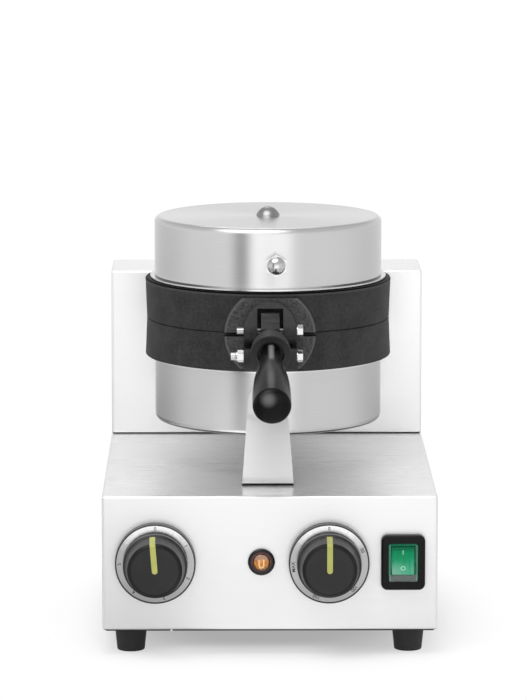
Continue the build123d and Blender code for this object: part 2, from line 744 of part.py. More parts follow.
def support_strip():
    """Bent steel strip from the base top up to the lower cap's front."""
    half = strip_thickness / 2
    cap_y = cap_front(0) - half
    foot_y = strip_front_y + half + 0.2
    bend_z = strip_bolt_z - strip_neck_width * 0.41
    line = FilletPolyline((foot_y + strip_foot_length, top_z + half), (foot_y, top_z + half), (cap_y, bend_z),
                          (cap_y, strip_bolt_z + strip_neck_width),
                          radius=[strip_bend_radius, strip_upper_bend_radius])
    side = Plane.YZ * trace(line, line_width=strip_thickness)
    strip = Pos(strip_x - strip_width, 0, 0) * extrude(side, amount=2 * strip_width, dir=(1, 0, 0))
    wide, neck = strip_width / 2, strip_neck_width / 2
    low, high = top_z, strip_bolt_z
    front = make_face(Polyline((strip_x - wide, low), (strip_x + wide, low), (strip_x + neck, high),
                               (strip_x - neck, high), close=True))
    front += Pos(strip_x, high) * Circle(neck)
    strip &= Pos(0, head_y, 0) * extrude(Plane.XZ * front, amount=2 * head_y)
    for x, y in strip_screw_places:
        strip -= rod(foot_screw_radius + hole_clearance, (x, y, top_z - 1), (x, y, top_z + 3 * strip_thickness))
    strip -= rod(stud_radius + hole_clearance, (strip_x, strip_front_y, strip_bolt_z),
                 (strip_x, head_y, strip_bolt_z))
    pieces["support_strip"] = strip
    seat = top_z + strip_thickness
    pieces["strip_screws"] = Compound(children=[
        pan_screw(x, y, seat, (0, 0, -1), foot_screw_radius, strip_screw_length)
        for x, y in strip_screw_places
    ])


def conduit():
    """Threaded pipe that carries the lower head's leads, its nuts, and the thermostat's probe."""
    hub_z = part_z - plate_gap / 2 - mould_depth - plate_wall
    pipe_top, pipe_bottom = hub_z - conduit_drop_in_hub - seat_clearance, top_z - conduit_below_top
    pipe = rod(conduit_radius, (0, head_y, pipe_bottom), (0, head_y, pipe_top))
    pipe -= rod(conduit_bore_radius, (0, head_y, pipe_bottom - 1), (0, head_y, pipe_top + 1))
    pieces["conduit_pipe"] = pipe
    nuts = []
    thick = conduit_nut_thickness
    for low in (top_z, top_z - sheet - thick, lower_cap_z - thick, lower_cap_z + sheet):
        nut = hex_bar(conduit_nut_flats, (0, head_y, low), (0, head_y, low + thick))
        nut -= rod(conduit_radius + seat_clearance, (0, head_y, low - 1), (0, head_y, low + 2 * thick))
        nuts.append(nut)
    pieces["conduit_nuts"] = Compound(children=nuts)

    probe_top = part_z - plate_gap / 2 - mould_depth - probe_wall - seat_clearance
    probe_bottom = probe_top - probe_length
    probe = rod(probe_radius, (0, head_y, probe_bottom), (0, head_y, probe_top))
    body_back = sheet + control_body_depth
    route = FilletPolyline((0, head_y, probe_bottom + 1), (0, head_y, control_z + 10),
                           (thermostat_x / 2, head_y - capillary_run, control_z + 6),
                           (thermostat_x, body_back + capillary_run, control_z),
                           (thermostat_x, body_back, control_z), radius=capillary_bend_radius)
    section = Plane(origin=route @ 0, z_dir=route % 0) * Circle(capillary_radius)
    pieces["thermostat_probe"] = probe + sweep(section, path=route)


def hinge():
    """Bracket on the housing's front, its pin and clip, and the screws that hold bracket and lug."""
    inner = knuckle_width / 2 + hinge_side_gap
    outer = inner + bracket_ear_width
    front = housing_y - bracket_plate
    bottom = part_z - bracket_below_parting
    bracket = block(-outer, outer, front, housing_y, bottom, housing_z - 1.5)
    ear = [(front + 1, bottom + 20), (front + 1, housing_z - 1.5),
           (hinge_y + bracket_ear_radius * 0.5, hinge_z + bracket_ear_radius * 0.866),
           (hinge_y - bracket_ear_radius * 0.866, hinge_z - bracket_ear_radius * 0.5)]
    for x0, x1 in ((-outer, -inner), (inner, outer)):
        bracket += side_plate(ear, x0, x1)
        bracket += rod(bracket_ear_radius, (x0, hinge_y, hinge_z), (x1, hinge_y, hinge_z))
    bracket -= rod(hinge_pin_radius + seat_clearance, (-outer - 1, hinge_y, hinge_z),
                   (outer + 1, hinge_y, hinge_z))
    for x, z in lug_screw_places:
        bracket -= rod(lug_screw_radius + hole_clearance, (x, front - 1, z), (x, housing_y + 1, z))
    for x, z in bracket_screw_places:
        bracket -= rod(foot_screw_radius + hole_clearance, (x, front - 1, z), (x, housing_y + 1, z))
    pieces["hinge_bracket"] = bracket

    groove = hinge_pin_radius - clip_groove_depth
    clip_x = outer + 0.1
    pin = rod(hinge_pin_radius, (-outer, hinge_y, hinge_z), (clip_x + 3, hinge_y, hinge_z))
    pin += rod(pin_head_radius, (-outer - pin_head_thickness, hinge_y, hinge_z), (-outer, hinge_y, hinge_z))
    clip_slot = rod(hinge_pin_radius + 1, (clip_x, hinge_y, hinge_z), (clip_x + clip_width, hinge_y, hinge_z))
    pin -= clip_slot - rod(groove, (clip_x - 1, hinge_y, hinge_z), (clip_x + 3, hinge_y, hinge_z))
    pieces["hinge_pin"] = pin
    clip = rod(pin_head_radius, (clip_x + running_clearance, hinge_y, hinge_z),
               (clip_x + clip_width - 0.1, hinge_y, hinge_z))
    clip -= rod(groove + seat_clearance, (clip_x - 1, hinge_y, hinge_z), (clip_x + 3, hinge_y, hinge_z))
    clip -= block(clip_x - 1, clip_x + 3, hinge_y - clip_opening / 2, hinge_y + clip_opening / 2,
                  hinge_z - 2 * pin_head_radius, hinge_z)
    pieces["hinge_clip"] = clip

    screws = [
        pan_screw(x, housing_y + sheet, z, (0, -1, 0), lug_screw_radius, lug_screw_length)
        for x, z in lug_screw_places
    ]
    screws += [
        pan_screw(x, front, z, (0, 1, 0), foot_screw_radius, bracket_screw_length)
        for x, z in bracket_screw_places
    ]
    pieces["bracket_screws"] = Compound(children=screws)


def latch_bolt(z, stub):
    """Hexagon bolt across a pair of ears, with its head on the right."""
    right, left = latch_x + clevis_half_width, latch_x - clevis_half_width
    bolt = rod(latch_bolt_radius, (left - stub, latch_y, z), (right + latch_washer, latch_y, z))
    head = right + latch_washer
    bolt += rod(latch_bolt_radius + 1.2, (right + seat_clearance, latch_y, z), (head, latch_y, z))
    return bolt + hex_bar(latch_bolt_flats, (head, latch_y, z), (head + latch_bolt_head, latch_y, z))


def latch_bolts():
    """Pivot bolt of the handle, and the catch bolt with its dome nut."""
    pieces["pivot_bolt"] = latch_bolt(pivot_z, pivot_stub)
    pieces["catch_bolt"] = latch_bolt(catch_z, catch_stub)
    left = latch_x - clevis_half_width - seat_clearance
    end = left - catch_nut_length
    nut = hex_bar(latch_bolt_flats, (left, latch_y, catch_z), (end, latch_y, catch_z))
    dome = Pos(end, latch_y, catch_z) * Sphere(latch_bolt_flats / 2 * 0.95)
    nut += dome & block(end - 20, end, latch_y - 9, latch_y + 9, catch_z - 9, catch_z + 9)
    nut += rod(latch_bolt_radius + 0.6, (end + 0.5, latch_y, catch_z), (end - 5, latch_y, catch_z))
    thread_end = left - catch_stub - 0.2
    nut -= rod(latch_bolt_radius + seat_clearance, (left + 1, latch_y, catch_z), (thread_end, latch_y, catch_z))
    pieces["catch_nut"] = nut


def handle():
    """Latch bracket with its hook and bell, the rod and the grip, along the sloping handle."""
    pivot = Vector(latch_x, latch_y, pivot_z)
    along = Vector(0, -cos(radians(handle_slope)), -sin(radians(handle_slope)))
    above = Vector(0, -sin(radians(handle_slope)), cos(radians(handle_slope)))
    profile = Plane(origin=pivot, x_dir=above, z_dir=above.cross(along))

    def centre(reach):
        return pivot + along * reach

    x0, x1 = latch_x - tongue_half_width, latch_x + tongue_half_width
    tongue = rod(tongue_radius, (x0, latch_y, pivot_z), (x1, latch_y, pivot_z))
    neck = [centre(0) + above * (tongue_radius - 1.5), centre(bell_start + 6) + above * tongue_neck_radius,
            centre(bell_start + 8) - above * tongue_neck_radius, centre(0) - above * (tongue_radius - 1)]
    tongue += side_plate([(point.Y, point.Z) for point in neck], x0, x1)

    # The hook's face follows the path of the catch bolt as the lid swings about its hinge.
    arm_y, arm_z = latch_y - hinge_y, catch_z - hinge_z
    arm = sqrt(arm_y**2 + arm_z**2)
    up = Vector(0, arm_z / arm, -arm_y / arm)
    back = Vector(0, -arm_y / arm, -arm_z / arm)
    face = Vector(0, latch_y, catch_z) - back * (latch_bolt_radius + hook_clearance)
    hook = [face + up * hook_rise, face - up * (hook_drop - 3), face - up * hook_drop - back * 3,
            face - up * hook_drop - back * (hook_thickness - 3), face - back * (hook_thickness + 1) + up * 2,
            face - back * hook_thickness + up * hook_rise]
    tongue += side_plate([(point.Y, point.Z) for point in hook], x0, x1)
    tongue -= latch_hole(pivot_z)

    bell_length = bell_end - bell_start
    arc = EllipticalCenterArc((0, bell_end), bell_radius, bell_length, 270, arc_size=90)
    bell = arc + Line((bell_radius, bell_end), (0, bell_end)) + Line((0, bell_end), (0, bell_start))
    bell = revolve(profile * make_face(bell), Axis(pivot, along))
    bell = fillet(bell.edges().filter_by(GeomType.CIRCLE).sort_by(SortBy.RADIUS)[-1], 0.6)
    bell -= rod(bell_recess_radius, centre(bell_end - bell_recess_depth), centre(bell_end + 1))
    bracket = tongue + bell
    rod_start = bell_start + handle_rod_inset
    socket = centre(rod_start)
    bracket -= rod(handle_rod_radius + seat_clearance, socket, centre(bell_end + 1))
    pieces["handle_bracket"] = bracket

    body = grip_end - grip_start
    swell = Spline((grip_neck_radius, grip_start), (grip_neck_radius + 0.3, grip_start + body * 0.10),
                   (9.7, grip_start + body * 0.32), (12.2, grip_start + body * 0.5),
                   (13.7, grip_start + body * 0.7), (grip_end_radius, grip_end - grip_edge_radius))
    tip = grip_end + grip_end_bulge
    end = ThreePointArc((grip_end_radius, grip_end - grip_edge_radius),
                        (grip_end_radius * 0.93, grip_end + 0.4), (grip_end_radius * 0.8, grip_end + 1.6))
    cap = Spline((grip_end_radius * 0.8, grip_end + 1.6), (grip_end_radius * 0.4, tip - 0.6), (0, tip),
                 tangents=((-1, 0.45), (-1, 0)))
    outline = swell + end + cap + Line((0, tip), (0, grip_start)) + Line((0, grip_start), (grip_neck_radius, grip_start))
    grip = revolve(profile * make_face(outline), Axis(pivot, along))
    rod_end = rod_start + seat_clearance + handle_rod_length
    grip -= rod(handle_rod_radius + seat_clearance, centre(grip_start - 1), centre(rod_end + 0.5))
    pieces["handle_grip"] = grip
    pieces["handle_rod"] = rod(handle_rod_radius, centre(rod_start + seat_clearance), centre(rod_end))


def knob_set(name, x, rest_angle):
    """Dial, knob, pointer, shaft and the control behind the panel."""
    front = Plane(origin=(x, 0, control_z), x_dir=(1, 0, 0), z_dir=(0, 0, 1))
    hole = bush_radius + hole_clearance
    inner = dial_radius - 3
    face, back = dial_plate_drop - dial_depth, 1.6 - dial_depth
    dial = turned([(hole, face), (dial_radius - dial_rim, face), (dial_radius - dial_rim, -dial_depth),
                   (dial_radius, -dial_depth), (dial_radius, 0), (inner, 0), (inner, back), (hole + 3, back),
                   (hole + 3, 0), (hole, 0)], front)
    pieces[f"{name}_dial"] = dial

    rear = -dial_depth - knob_gap
    nose = rear - knob_length
    step = rear - knob_skirt_length
    lip = 0.8
    def cone(inset, front_y):
        body_radius, front_radius = knob_body_radius - inset, knob_front_radius - inset
        return [(body_radius, step), (front_radius, front_y + knob_edge_radius),
                (front_radius - knob_edge_radius, front_y), (0, front_y)]

    skirt = [(0, rear), (knob_skirt_radius - lip, rear), (knob_skirt_radius, rear - lip),
             (knob_skirt_radius, step + lip)]
    body = turned(skirt + cone(0, nose), front)
    core_radius, skin_radius = knob_body_radius - pointer_depth, knob_body_radius + pointer_proud
    core = turned([(0, rear), (core_radius, rear)] + cone(pointer_depth, nose + pointer_depth), front)
    skin = turned([(0, rear), (skin_radius, rear)] + cone(-pointer_proud, nose - pointer_proud), front)
    half = pointer_width / 2
    bar = block(x - half, x + half, nose - 2, step - 1.5, control_z, control_z + knob_skirt_radius + 2)
    bar += rod(half, (x, nose - 2, control_z), (x, nose + 4, control_z))
    pointer = (bar & skin) - core
    bore_end = nose + knob_wall + 3
    inner = knob_front_radius - knob_wall
    hollow = turned([(knob_hub_radius, rear + 1), (inner, rear + 1), (inner - 2, bore_end),
                     (knob_hub_radius, bore_end)], front)
    body = body - pointer - hollow
    body -= rod(shaft_radius + seat_clearance, (x, rear + 1, control_z), (x, bore_end, control_z))
    axis = Axis((x, 0, control_z), (0, 1, 0))
    pieces[f"{name}_knob"] = body.rotate(axis, rest_angle)
    pieces[f"{name}_pointer"] = pointer.rotate(axis, rest_angle)

    size, depth = control_body_size / 2, control_body_depth
    control = block(x - size, x + size, sheet, sheet + depth, control_z - size, control_z + size)
    control = fillet(control.edges().filter_by(Axis.Y), 4)
    control += rod(bush_radius, (x, -dial_depth + 1, control_z), (x, 2 * sheet, control_z))
    shaft_end = sheet + depth - 6
    control -= rod(shaft_radius + running_clearance, (x, -dial_depth, control_z),
                   (x, shaft_end + 0.3, control_z))
    pieces[f"{name}_body"] = control
    shaft_start = bore_end + seat_clearance
    pieces[f"{name}_shaft"] = rod(shaft_radius, (x, shaft_start, control_z), (x, shaft_end, control_z))


def pilot_lamp():
    """Bezel, domed lens and body of the pilot lamp."""
    x, z = lamp_x, control_z
    front = Plane(origin=(x, 0, z), x_dir=(1, 0, 0), z_dir=(0, 0, 1))
    hole = lamp_lens_radius + 0.1
    bezel = turned([(hole, 0), (lamp_bezel_radius, 0), (lamp_bezel_radius, -lamp_bezel_depth + 1),
                    (lamp_bezel_radius - 1, -lamp_bezel_depth), (hole, -lamp_bezel_depth)], front)
    pieces["lamp_bezel"] = bezel
    ball = (lamp_lens_radius**2 + lamp_lens_bulge**2) / (2 * lamp_lens_bulge)
    lens = rod(lamp_lens_radius, (x, -lamp_lens_depth, z), (x, 0, z))
    lens &= Pos(x, -lamp_lens_depth + ball, z) * Sphere(ball)
    pieces["lamp_lens"] = lens
    pieces["lamp_body"] = rod(lamp_body_radius, (x, seat_clearance, z), (x, lamp_body_length, z))


def rocker_switch():
    """Frame, clear splash cover, rocker and body of the mains switch."""
    x, z = switch_x, control_z

    def plate(width, height, corner, y0, y1):
        outline = Plane.XZ * RectangleRounded(width, height, corner)
        return Pos(x, y1, z) * extrude(outline, amount=y1 - y0)

    frame = plate(switch_width, switch_height, switch_corner, -switch_depth, 0)
    frame = fillet(frame.faces().sort_by(Axis.Y)[0].edges(), 2.0)
    frame -= plate(window_width, window_height, 2.0, -switch_depth - 1, 1)
    pieces["switch_frame"] = frame
    width, height = window_width - 2 * hole_clearance, window_height - 2 * hole_clearance
    cover = plate(width, height, 1.9, -cover_depth, 0)
    cover = fillet(cover.faces().sort_by(Axis.Y)[0].edges(), 1.5)
    cover -= plate(width - 2 * cover_wall, height - 2 * cover_wall, 1.1, -cover_depth + cover_wall, 1)
    pieces["switch_cover"] = cover
    body = block(x - width / 2, x + width / 2, seat_clearance, switch_body_depth,
                 z - height / 2, z + height / 2)
    well_width, well_height = rocker_width + 1.0, rocker_height + 2.5
    body -= block(x - well_width / 2, x + well_width / 2, -1, 2 * rocker_pivot_depth + 2,
                  z - well_height / 2, z + well_height / 2)
    pivot_hole = rocker_pivot_radius + running_clearance
    body -= rod(pivot_hole, (x - rocker_width / 2 - 2, rocker_pivot_depth, z),
                (x + rocker_width / 2 + 2, rocker_pivot_depth, z))
    pieces["switch_body"] = body
    top, valley, deep = -rocker_front, -rocker_valley, rocker_pivot_depth + 2
    half = rocker_height / 2
    outline = [(top, half - 0.4), (top + 0.6, half), (deep, half - 5), (deep, 5 - half), (top + 0.6, -half),
               (top, 0.4 - half), (valley, 0)]
    rocker = Pos(x, 0, z) * side_plate(outline, -rocker_width / 2, rocker_width / 2)
    pivot = rocker_width / 2 + 1.5
    rocker += rod(rocker_pivot_radius, (x - pivot, rocker_pivot_depth, z), (x + pivot, rocker_pivot_depth, z))
    pieces["switch_rocker"] = rocker.rotate(Axis((x, rocker_pivot_depth, z), (1, 0, 0)), -rocker_tilt)


casing()
feet_and_screws()
rear_fittings()
lower_plate()
upper_plate()
caps()
cap_fasteners()
support_strip()
conduit()
hinge()
latch_bolts()
handle()
knob_set("timer", timer_x, timer_rest_angle)
knob_set("thermostat", thermostat_x, 0)
pilot_lamp()
rocker_switch()

# The origin is the middle of the underside of the whole press, from the handle's tip to the gland.
front_y = pieces["handle_grip"].bounding_box().min.Y
rear_y = pieces["cord_gland"].bounding_box().max.Y
middle_y = (front_y + rear_y) / 2
for name, piece in pieces.items():
    export_step(Pos(0, -middle_y, 0) * piece, f"parts/{name}.step")

print("pieces", len(pieces), "middle_y", round(middle_y, 4))
for name, y, z in (
    ("hinge", hinge_y, hinge_z), ("pivot", latch_y, pivot_z), ("control", 0, control_z),
    ("rocker", rocker_pivot_depth, control_z), ("parting", head_y, part_z), ("gland", rear_y, gland_z),
):
    print(name, round(y - middle_y, 4), round(z, 4))
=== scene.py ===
# %% [markdown]
# A countertop burger press, dressed for a studio picture.
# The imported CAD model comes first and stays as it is. This lesson gives each of its pieces a finish,
# and models by hand what the CAD keeps plain or leaves out: the pilot lamp with its domed lens, the
# dials' lettering and the two marks on the rocker. Everything is in metres, and the front faces
# minus Y.

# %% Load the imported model
import math

import bpy
from mathutils import Matrix, Vector


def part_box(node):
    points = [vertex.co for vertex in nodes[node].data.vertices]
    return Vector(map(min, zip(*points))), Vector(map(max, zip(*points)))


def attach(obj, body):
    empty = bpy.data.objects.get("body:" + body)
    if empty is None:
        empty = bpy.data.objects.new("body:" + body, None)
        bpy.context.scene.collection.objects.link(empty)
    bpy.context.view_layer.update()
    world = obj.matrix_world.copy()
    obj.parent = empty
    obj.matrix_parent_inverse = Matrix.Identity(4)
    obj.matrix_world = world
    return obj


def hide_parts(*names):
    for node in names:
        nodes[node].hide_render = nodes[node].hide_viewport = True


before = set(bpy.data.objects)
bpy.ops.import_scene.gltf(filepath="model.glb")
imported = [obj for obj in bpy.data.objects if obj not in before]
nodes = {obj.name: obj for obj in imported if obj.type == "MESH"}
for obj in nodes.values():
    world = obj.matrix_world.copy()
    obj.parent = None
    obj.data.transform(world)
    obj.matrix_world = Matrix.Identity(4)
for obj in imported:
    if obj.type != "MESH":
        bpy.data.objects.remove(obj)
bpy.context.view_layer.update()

# %% [markdown]
# The camera stands three metres away with a long lens, a little above the press and looking nine
# degrees down. A long lens keeps the front panel's edges almost parallel, as in the picture.

# %% Camera
sensor_width = 36.0
picture_height = 700
focal_length = 4198.76
camera_pitch, camera_yaw = 0.1546, 0.0085

camera = bpy.data.objects.new("camera", bpy.data.cameras.new("camera"))
bpy.context.scene.collection.objects.link(camera)
bpy.context.scene.camera = camera
camera.data.sensor_width = sensor_width
camera.data.lens = focal_length / picture_height * sensor_width
camera.data.clip_start, camera.data.clip_end = 0.1, 60.0
looking = Vector((
    math.sin(camera_yaw) * math.cos(camera_pitch),
    math.cos(camera_yaw) * math.cos(camera_pitch),
    -math.sin(camera_pitch),
))
camera.location = (-0.0308, -3.1935, 0.7099)
camera.rotation_mode = "QUATERNION"
camera.rotation_quaternion = looking.to_track_quat("-Z", "Y")
print("lens", round(camera.data.lens, 1), "mm")

# %% [markdown]
# Every finish below is worked out from where a point lies on the object. Shader maths reads best as
# ordinary sums, so a small class wraps one output of a shader node and lets plus, minus, times and
# divide add the Math nodes.


# %% Shader arithmetic
class Wire:
    """One output of a node tree, with arithmetic that adds Math nodes behind it."""

    def __init__(self, tree, socket=None):
        self.tree = tree
        self.socket = socket

    def node(self, kind, inputs=(), output=0, stops=(), **settings):
        """Adds a node: its settings and ramp stops first, then the values or wires of its inputs."""
        made = self.tree.nodes.new("ShaderNode" + kind)
        for setting, value in settings.items():
            setattr(made, setting, value)
        ramp = made.color_ramp.elements if stops else ()
        while len(ramp) < len(stops):
            ramp.new(1.0)
        for element, (position, colour) in zip(ramp, stops):
            element.position = position
            element.color = colour
        for name, value in dict(inputs).items():
            if isinstance(value, Wire):
                self.tree.links.new(value.socket, made.inputs[name])
            else:
                made.inputs[name].default_value = value
        return Wire(self.tree, made.outputs[output])

    def maths(self, operation, *others):
        """A Math node whose first value is this wire."""
        return self.node("Math", dict(enumerate((self, *others))), operation=operation)

    def __add__(self, other):
        return self.maths("ADD", other)

    def __sub__(self, other):
        return self.maths("SUBTRACT", other)

    def __rsub__(self, other):
        return self.node("Math", {0: other, 1: self}, operation="SUBTRACT")

    def __mul__(self, other):
        return self.maths("MULTIPLY", other)

    def __truediv__(self, other):
        return self.maths("DIVIDE", other)

    __radd__ = __add__
    __rmul__ = __mul__

    def absolute(self):
        return self.maths("ABSOLUTE")

    def rise(self, low, high):
        """0 below low, 1 above high, and smooth between them."""
        span = {"Value": self, "From Min": low, "From Max": high}
        return self.node("MapRange", span, interpolation_type="SMOOTHSTEP")

    def fall(self, low, high):
        """1 below low, 0 above high, and smooth between them."""
        return 1.0 - self.rise(low, high)

    def blend(self, below, above):
        """Colour that goes from below to above as this wire goes from 0 to 1."""
        return self.node("Mix", {0: self, 6: below, 7: above}, output=2, data_type="RGBA")

    def axis(self, which):
        """X, Y or Z of a vector, as 0, 1 or 2."""
        return self.node("SeparateXYZ", {0: self}, output=which)

    def about(self, x=0.0, y=0.0, z=0.0):
        """The vector measured from this point."""
        return self.node("Mapping", {"Vector": self, "Location": (-x, -y, -z)})

    def scaled(self, x, y, z):
        """The vector stretched along each axis, for patterns that run one way."""
        return self.node("Mapping", {"Vector": self, "Scale": (x, y, z)})

    def length(self, x=1.0, y=1.0, z=1.0):
        """Length of the vector. An axis that is given as 0 is left out."""
        return self.node("VectorMath", {0: self.scaled(x, y, z)}, output="Value", operation="LENGTH")

    def noise(self, scale, detail=2.0, roughness=0.5):
        pattern = {"Vector": self, "Scale": scale, "Detail": detail, "Roughness": roughness}
        return self.node("TexNoise", pattern)


print("shader arithmetic ready")

# %% [markdown]
# A finish is one material. new_finish makes it and hands back the wire of its Object coordinates, and
# lay fills in the surface shader's sockets. The other two helpers tell rays apart and measure round
# pieces that face the front.


# %% Finish helpers
def grey(level):
    return (level, level, level, 1.0)


def new_finish(name):
    """A material, and the wire of its Object coordinates."""
    material = bpy.data.materials.new(name)
    material.use_nodes = True
    return material, Wire(material.node_tree).node("TexCoord", output="Object")


def lay(material, place, bump=None, distance=0.0001, strength=1.0, **coats):
    """Sets the surface shader's sockets, and a bump from a height wire."""
    shader = material.node_tree.nodes["Principled BSDF"]
    if bump is not None:
        coats["Normal"] = place.node("Bump", {"Height": bump, "Distance": distance, "Strength": strength})
    for name, value in coats.items():
        socket = shader.inputs[name.replace("_", " ")]
        if isinstance(value, Wire):
            material.node_tree.links.new(value.socket, socket)
        else:
            socket.default_value = value
    return material


def ray_kinds(wire):
    """1 for a ray of its kind, and 0 for others: from the camera, mirrored, and through glass."""
    kinds = ("Is Camera Ray", "Is Glossy Ray", "Is Transmission Ray")
    return [wire.node("LightPath", output=kind) for kind in kinds]


def round_front(place, centre):
    """The place measured from a centre on the front, and how far it lies from that centre's axis."""
    local = place.about(x=centre[0], z=centre[2])
    return local, local.length(y=0.0)


print("finish helpers ready")

# %% [markdown]
# The studio is a white room: a pale floor, soft lamps above and at the sides, and a world whose
# brightness changes only with direction. Polished steel shows the room more than itself, so the room
# is what gives the caps their bright middle, the darker streak beside it and their grey flanks.
#
# Its brightness is given by compass turn, in degrees away from the camera's side.

# %% Brightness of the room
room_stops = [
    (-180, 0.90), (-160, 0.74), (-142, 0.71), (-110, 0.78), (-88, 0.86), (-70, 0.90), (-54, 0.92),
    (-40, 0.90), (-26, 0.90), (-19, 1.14), (-13, 1.54), (13, 1.54), (21, 1.38), (27, 0.96), (35, 0.84),
    (66, 0.80), (105, 0.76), (140, 0.72), (160, 0.76), (180, 0.90),
]


def on_turn(degrees):
    """A compass turn of -180 to 180 degrees as a number from 0 to 1."""
    return degrees / 360 + 0.5


def turn_from_camera(side, ahead):
    """Compass turn as a wire: 0.5 towards the camera, 0 and 1 behind the press."""
    return side.maths("ARCTAN2", ahead * -1.0) / (2 * math.pi) + 0.5


def room_by_turn(side, ahead):
    turn = turn_from_camera(side, ahead)
    return turn.node("ValToRGB", {0: turn}, stops=[(on_turn(at), grey(level)) for at, level in room_stops])


def dark_panel(side, ahead):
    """A narrow dark panel to the left of the camera, which the caps show as one dark streak."""
    turn = turn_from_camera(side, ahead)
    return turn.rise(on_turn(-41), on_turn(-28)) * turn.fall(on_turn(-25), on_turn(-15))


levels = [level for _, level in room_stops]
print("room brightness from", min(levels), "to", max(levels))

# %% [markdown]
# Near the horizon the world is that room. Higher up the room never gets bright, and then gives way to
# a grey ceiling with one big soft lamp and a small one behind the press. Only mirrors and glass see
# all this: matt surfaces are lit by an even grey, and the camera sees plain white.

# %% World
world = bpy.data.worlds.new("studio")
bpy.context.scene.world = world
world.use_nodes = True
sky = Wire(world.node_tree)
direction = sky.node("TexCoord", output="Generated")
side, ahead, up = (direction.axis(which) for which in range(3))


def lamp_seen(towards, low, high):
    """1 where a ray's direction is close to this one, and 0 away from it."""
    alike = direction.node("VectorMath", {0: direction, 1: towards}, output="Value", operation="DOT_PRODUCT")
    return alike.rise(low, high)


room = (dark_panel(side, ahead) * 0.85).blend(room_by_turn(side, ahead), grey(0.05))
room = up.rise(0.02, 0.14).blend(room, room.maths("MINIMUM", 0.92))
ceiling = lamp_seen((-0.22, -0.46, 0.86), 0.84, 0.95).blend(grey(0.60), grey(2.7))
room = up.rise(0.22, 0.50).blend(room, ceiling)
room = lamp_seen((-0.02, 0.80, 0.60), 0.985, 0.996).blend(room, grey(2.2))
camera_ray, mirror_ray, glass_ray = ray_kinds(sky)
shown = mirror_ray.maths("MAXIMUM", glass_ray).blend(grey(0.63), room)
shown = camera_ray.blend(shown, grey(1.0))
world.node_tree.links.new(shown.socket, world.node_tree.nodes["Background"].inputs["Color"])
bpy.context.scene.view_settings.view_transform = "Standard"
print("world ready")

# %% [markdown]
# Four wide lamps shape the matt parts. Mirrors don't see them, because the world already holds what
# the steel should show.


# %% Lamps
def soft_lamp(name, place, aim, width, depth, power):
    data = bpy.data.lights.new(name, "AREA")
    data.shape = "RECTANGLE"
    data.size, data.size_y, data.energy = width, depth, power
    lamp = bpy.data.objects.new(name, data)
    bpy.context.scene.collection.objects.link(lamp)
    lamp.location = place
    lamp.rotation_mode = "QUATERNION"
    lamp.rotation_quaternion = (Vector(aim) - Vector(place)).to_track_quat("-Z", "Y")
    lamp.visible_glossy = False


soft_lamp("lamp_above", (-0.30, -0.95, 1.7), (0.0, 0.05, 0.15), 0.9, 0.7, 12.5)
soft_lamp("lamp_left", (-1.9, -0.7, 1.1), (0.0, 0.0, 0.15), 1.0, 1.4, 7.0)
soft_lamp("lamp_right", (1.9, -0.7, 1.1), (0.0, 0.0, 0.15), 1.0, 1.4, 10.0)
soft_lamp("lamp_back", (0.2, 1.7, 1.5), (0.0, 0.1, 0.15), 1.4, 0.9, 6.0)
print("lamps", len(bpy.data.lights))

# %% [markdown]
# The floor has to look white and still hold the shadow. Under the press it is a pale matt surface,
# and further out it fades to a plain glow, which is white for the camera. Mirrors see the room's
# brightness in it, a little darker near the press and behind it, and brighter on the right.

# %% Floor
bpy.ops.object.select_all(action="DESELECT")
bpy.ops.mesh.primitive_plane_add(size=24.0, location=(0.0, 0.0, 0.0))
floor = bpy.context.object
floor.name = "floor"
floor_finish, place = new_finish("pale_floor")
lay(floor_finish, place, Base_Color=grey(0.95), Roughness=0.9, Specular_IOR_Level=0.0)
side, ahead = place.axis(0), place.axis(1)
distance_out = place.length(z=0.0)
camera_ray, mirror_ray, glass_ray = ray_kinds(place)
print("floor", floor.dimensions[:2])

# %% [markdown]
# The glow carries the room and its dark panel, times a strength that mirrors see change with the
# place. The share of the glow is small in the shadow and grows outwards, a little sooner on the open
# floor in front.

# %% Glow of the floor
streak = dark_panel(side, ahead) * (0.30 + 0.65 * distance_out.rise(1.35, 1.80))
glow = mirror_ray.blend(grey(1.0), streak.blend(room_by_turn(side, ahead), grey(0.05)))
beside = (side / distance_out).rise(0.25, 0.8) * 0.28
behind = (ahead / distance_out).rise(-0.2, 0.75) * 0.50
near = distance_out.fall(0.65, 1.2) * 0.42
strength = 1.02 + mirror_ray * (distance_out.fall(1.0, 1.8) * (beside - behind) - near)
glow = place.node("VectorMath", {0: glow, "Scale": strength}, operation="SCALE")
white = place.node("Emission", {"Color": glow})

open_front = (ahead * -1.0).rise(0.074, 0.108) * (side + 0.02).absolute().fall(0.035, 0.09)
far = distance_out.rise(0.06, 0.285)
far = far + (1.0 - far) * open_front * 0.3
seen = camera_ray.maths("MAXIMUM", mirror_ray.maths("MAXIMUM", glass_ray))
share = seen * (0.38 + 0.62 * far)
share = share + mirror_ray * (1.0 - share) * 0.7
matt = Wire(place.tree, floor_finish.node_tree.nodes["Principled BSDF"].outputs[0])
mixed = place.node("MixShader", {0: share, 1: matt, 2: white})
place.tree.links.new(mixed.socket, floor_finish.node_tree.nodes["Material Output"].inputs["Surface"])
floor.data.materials.append(floor_finish)
print("floor finish", floor_finish.name)
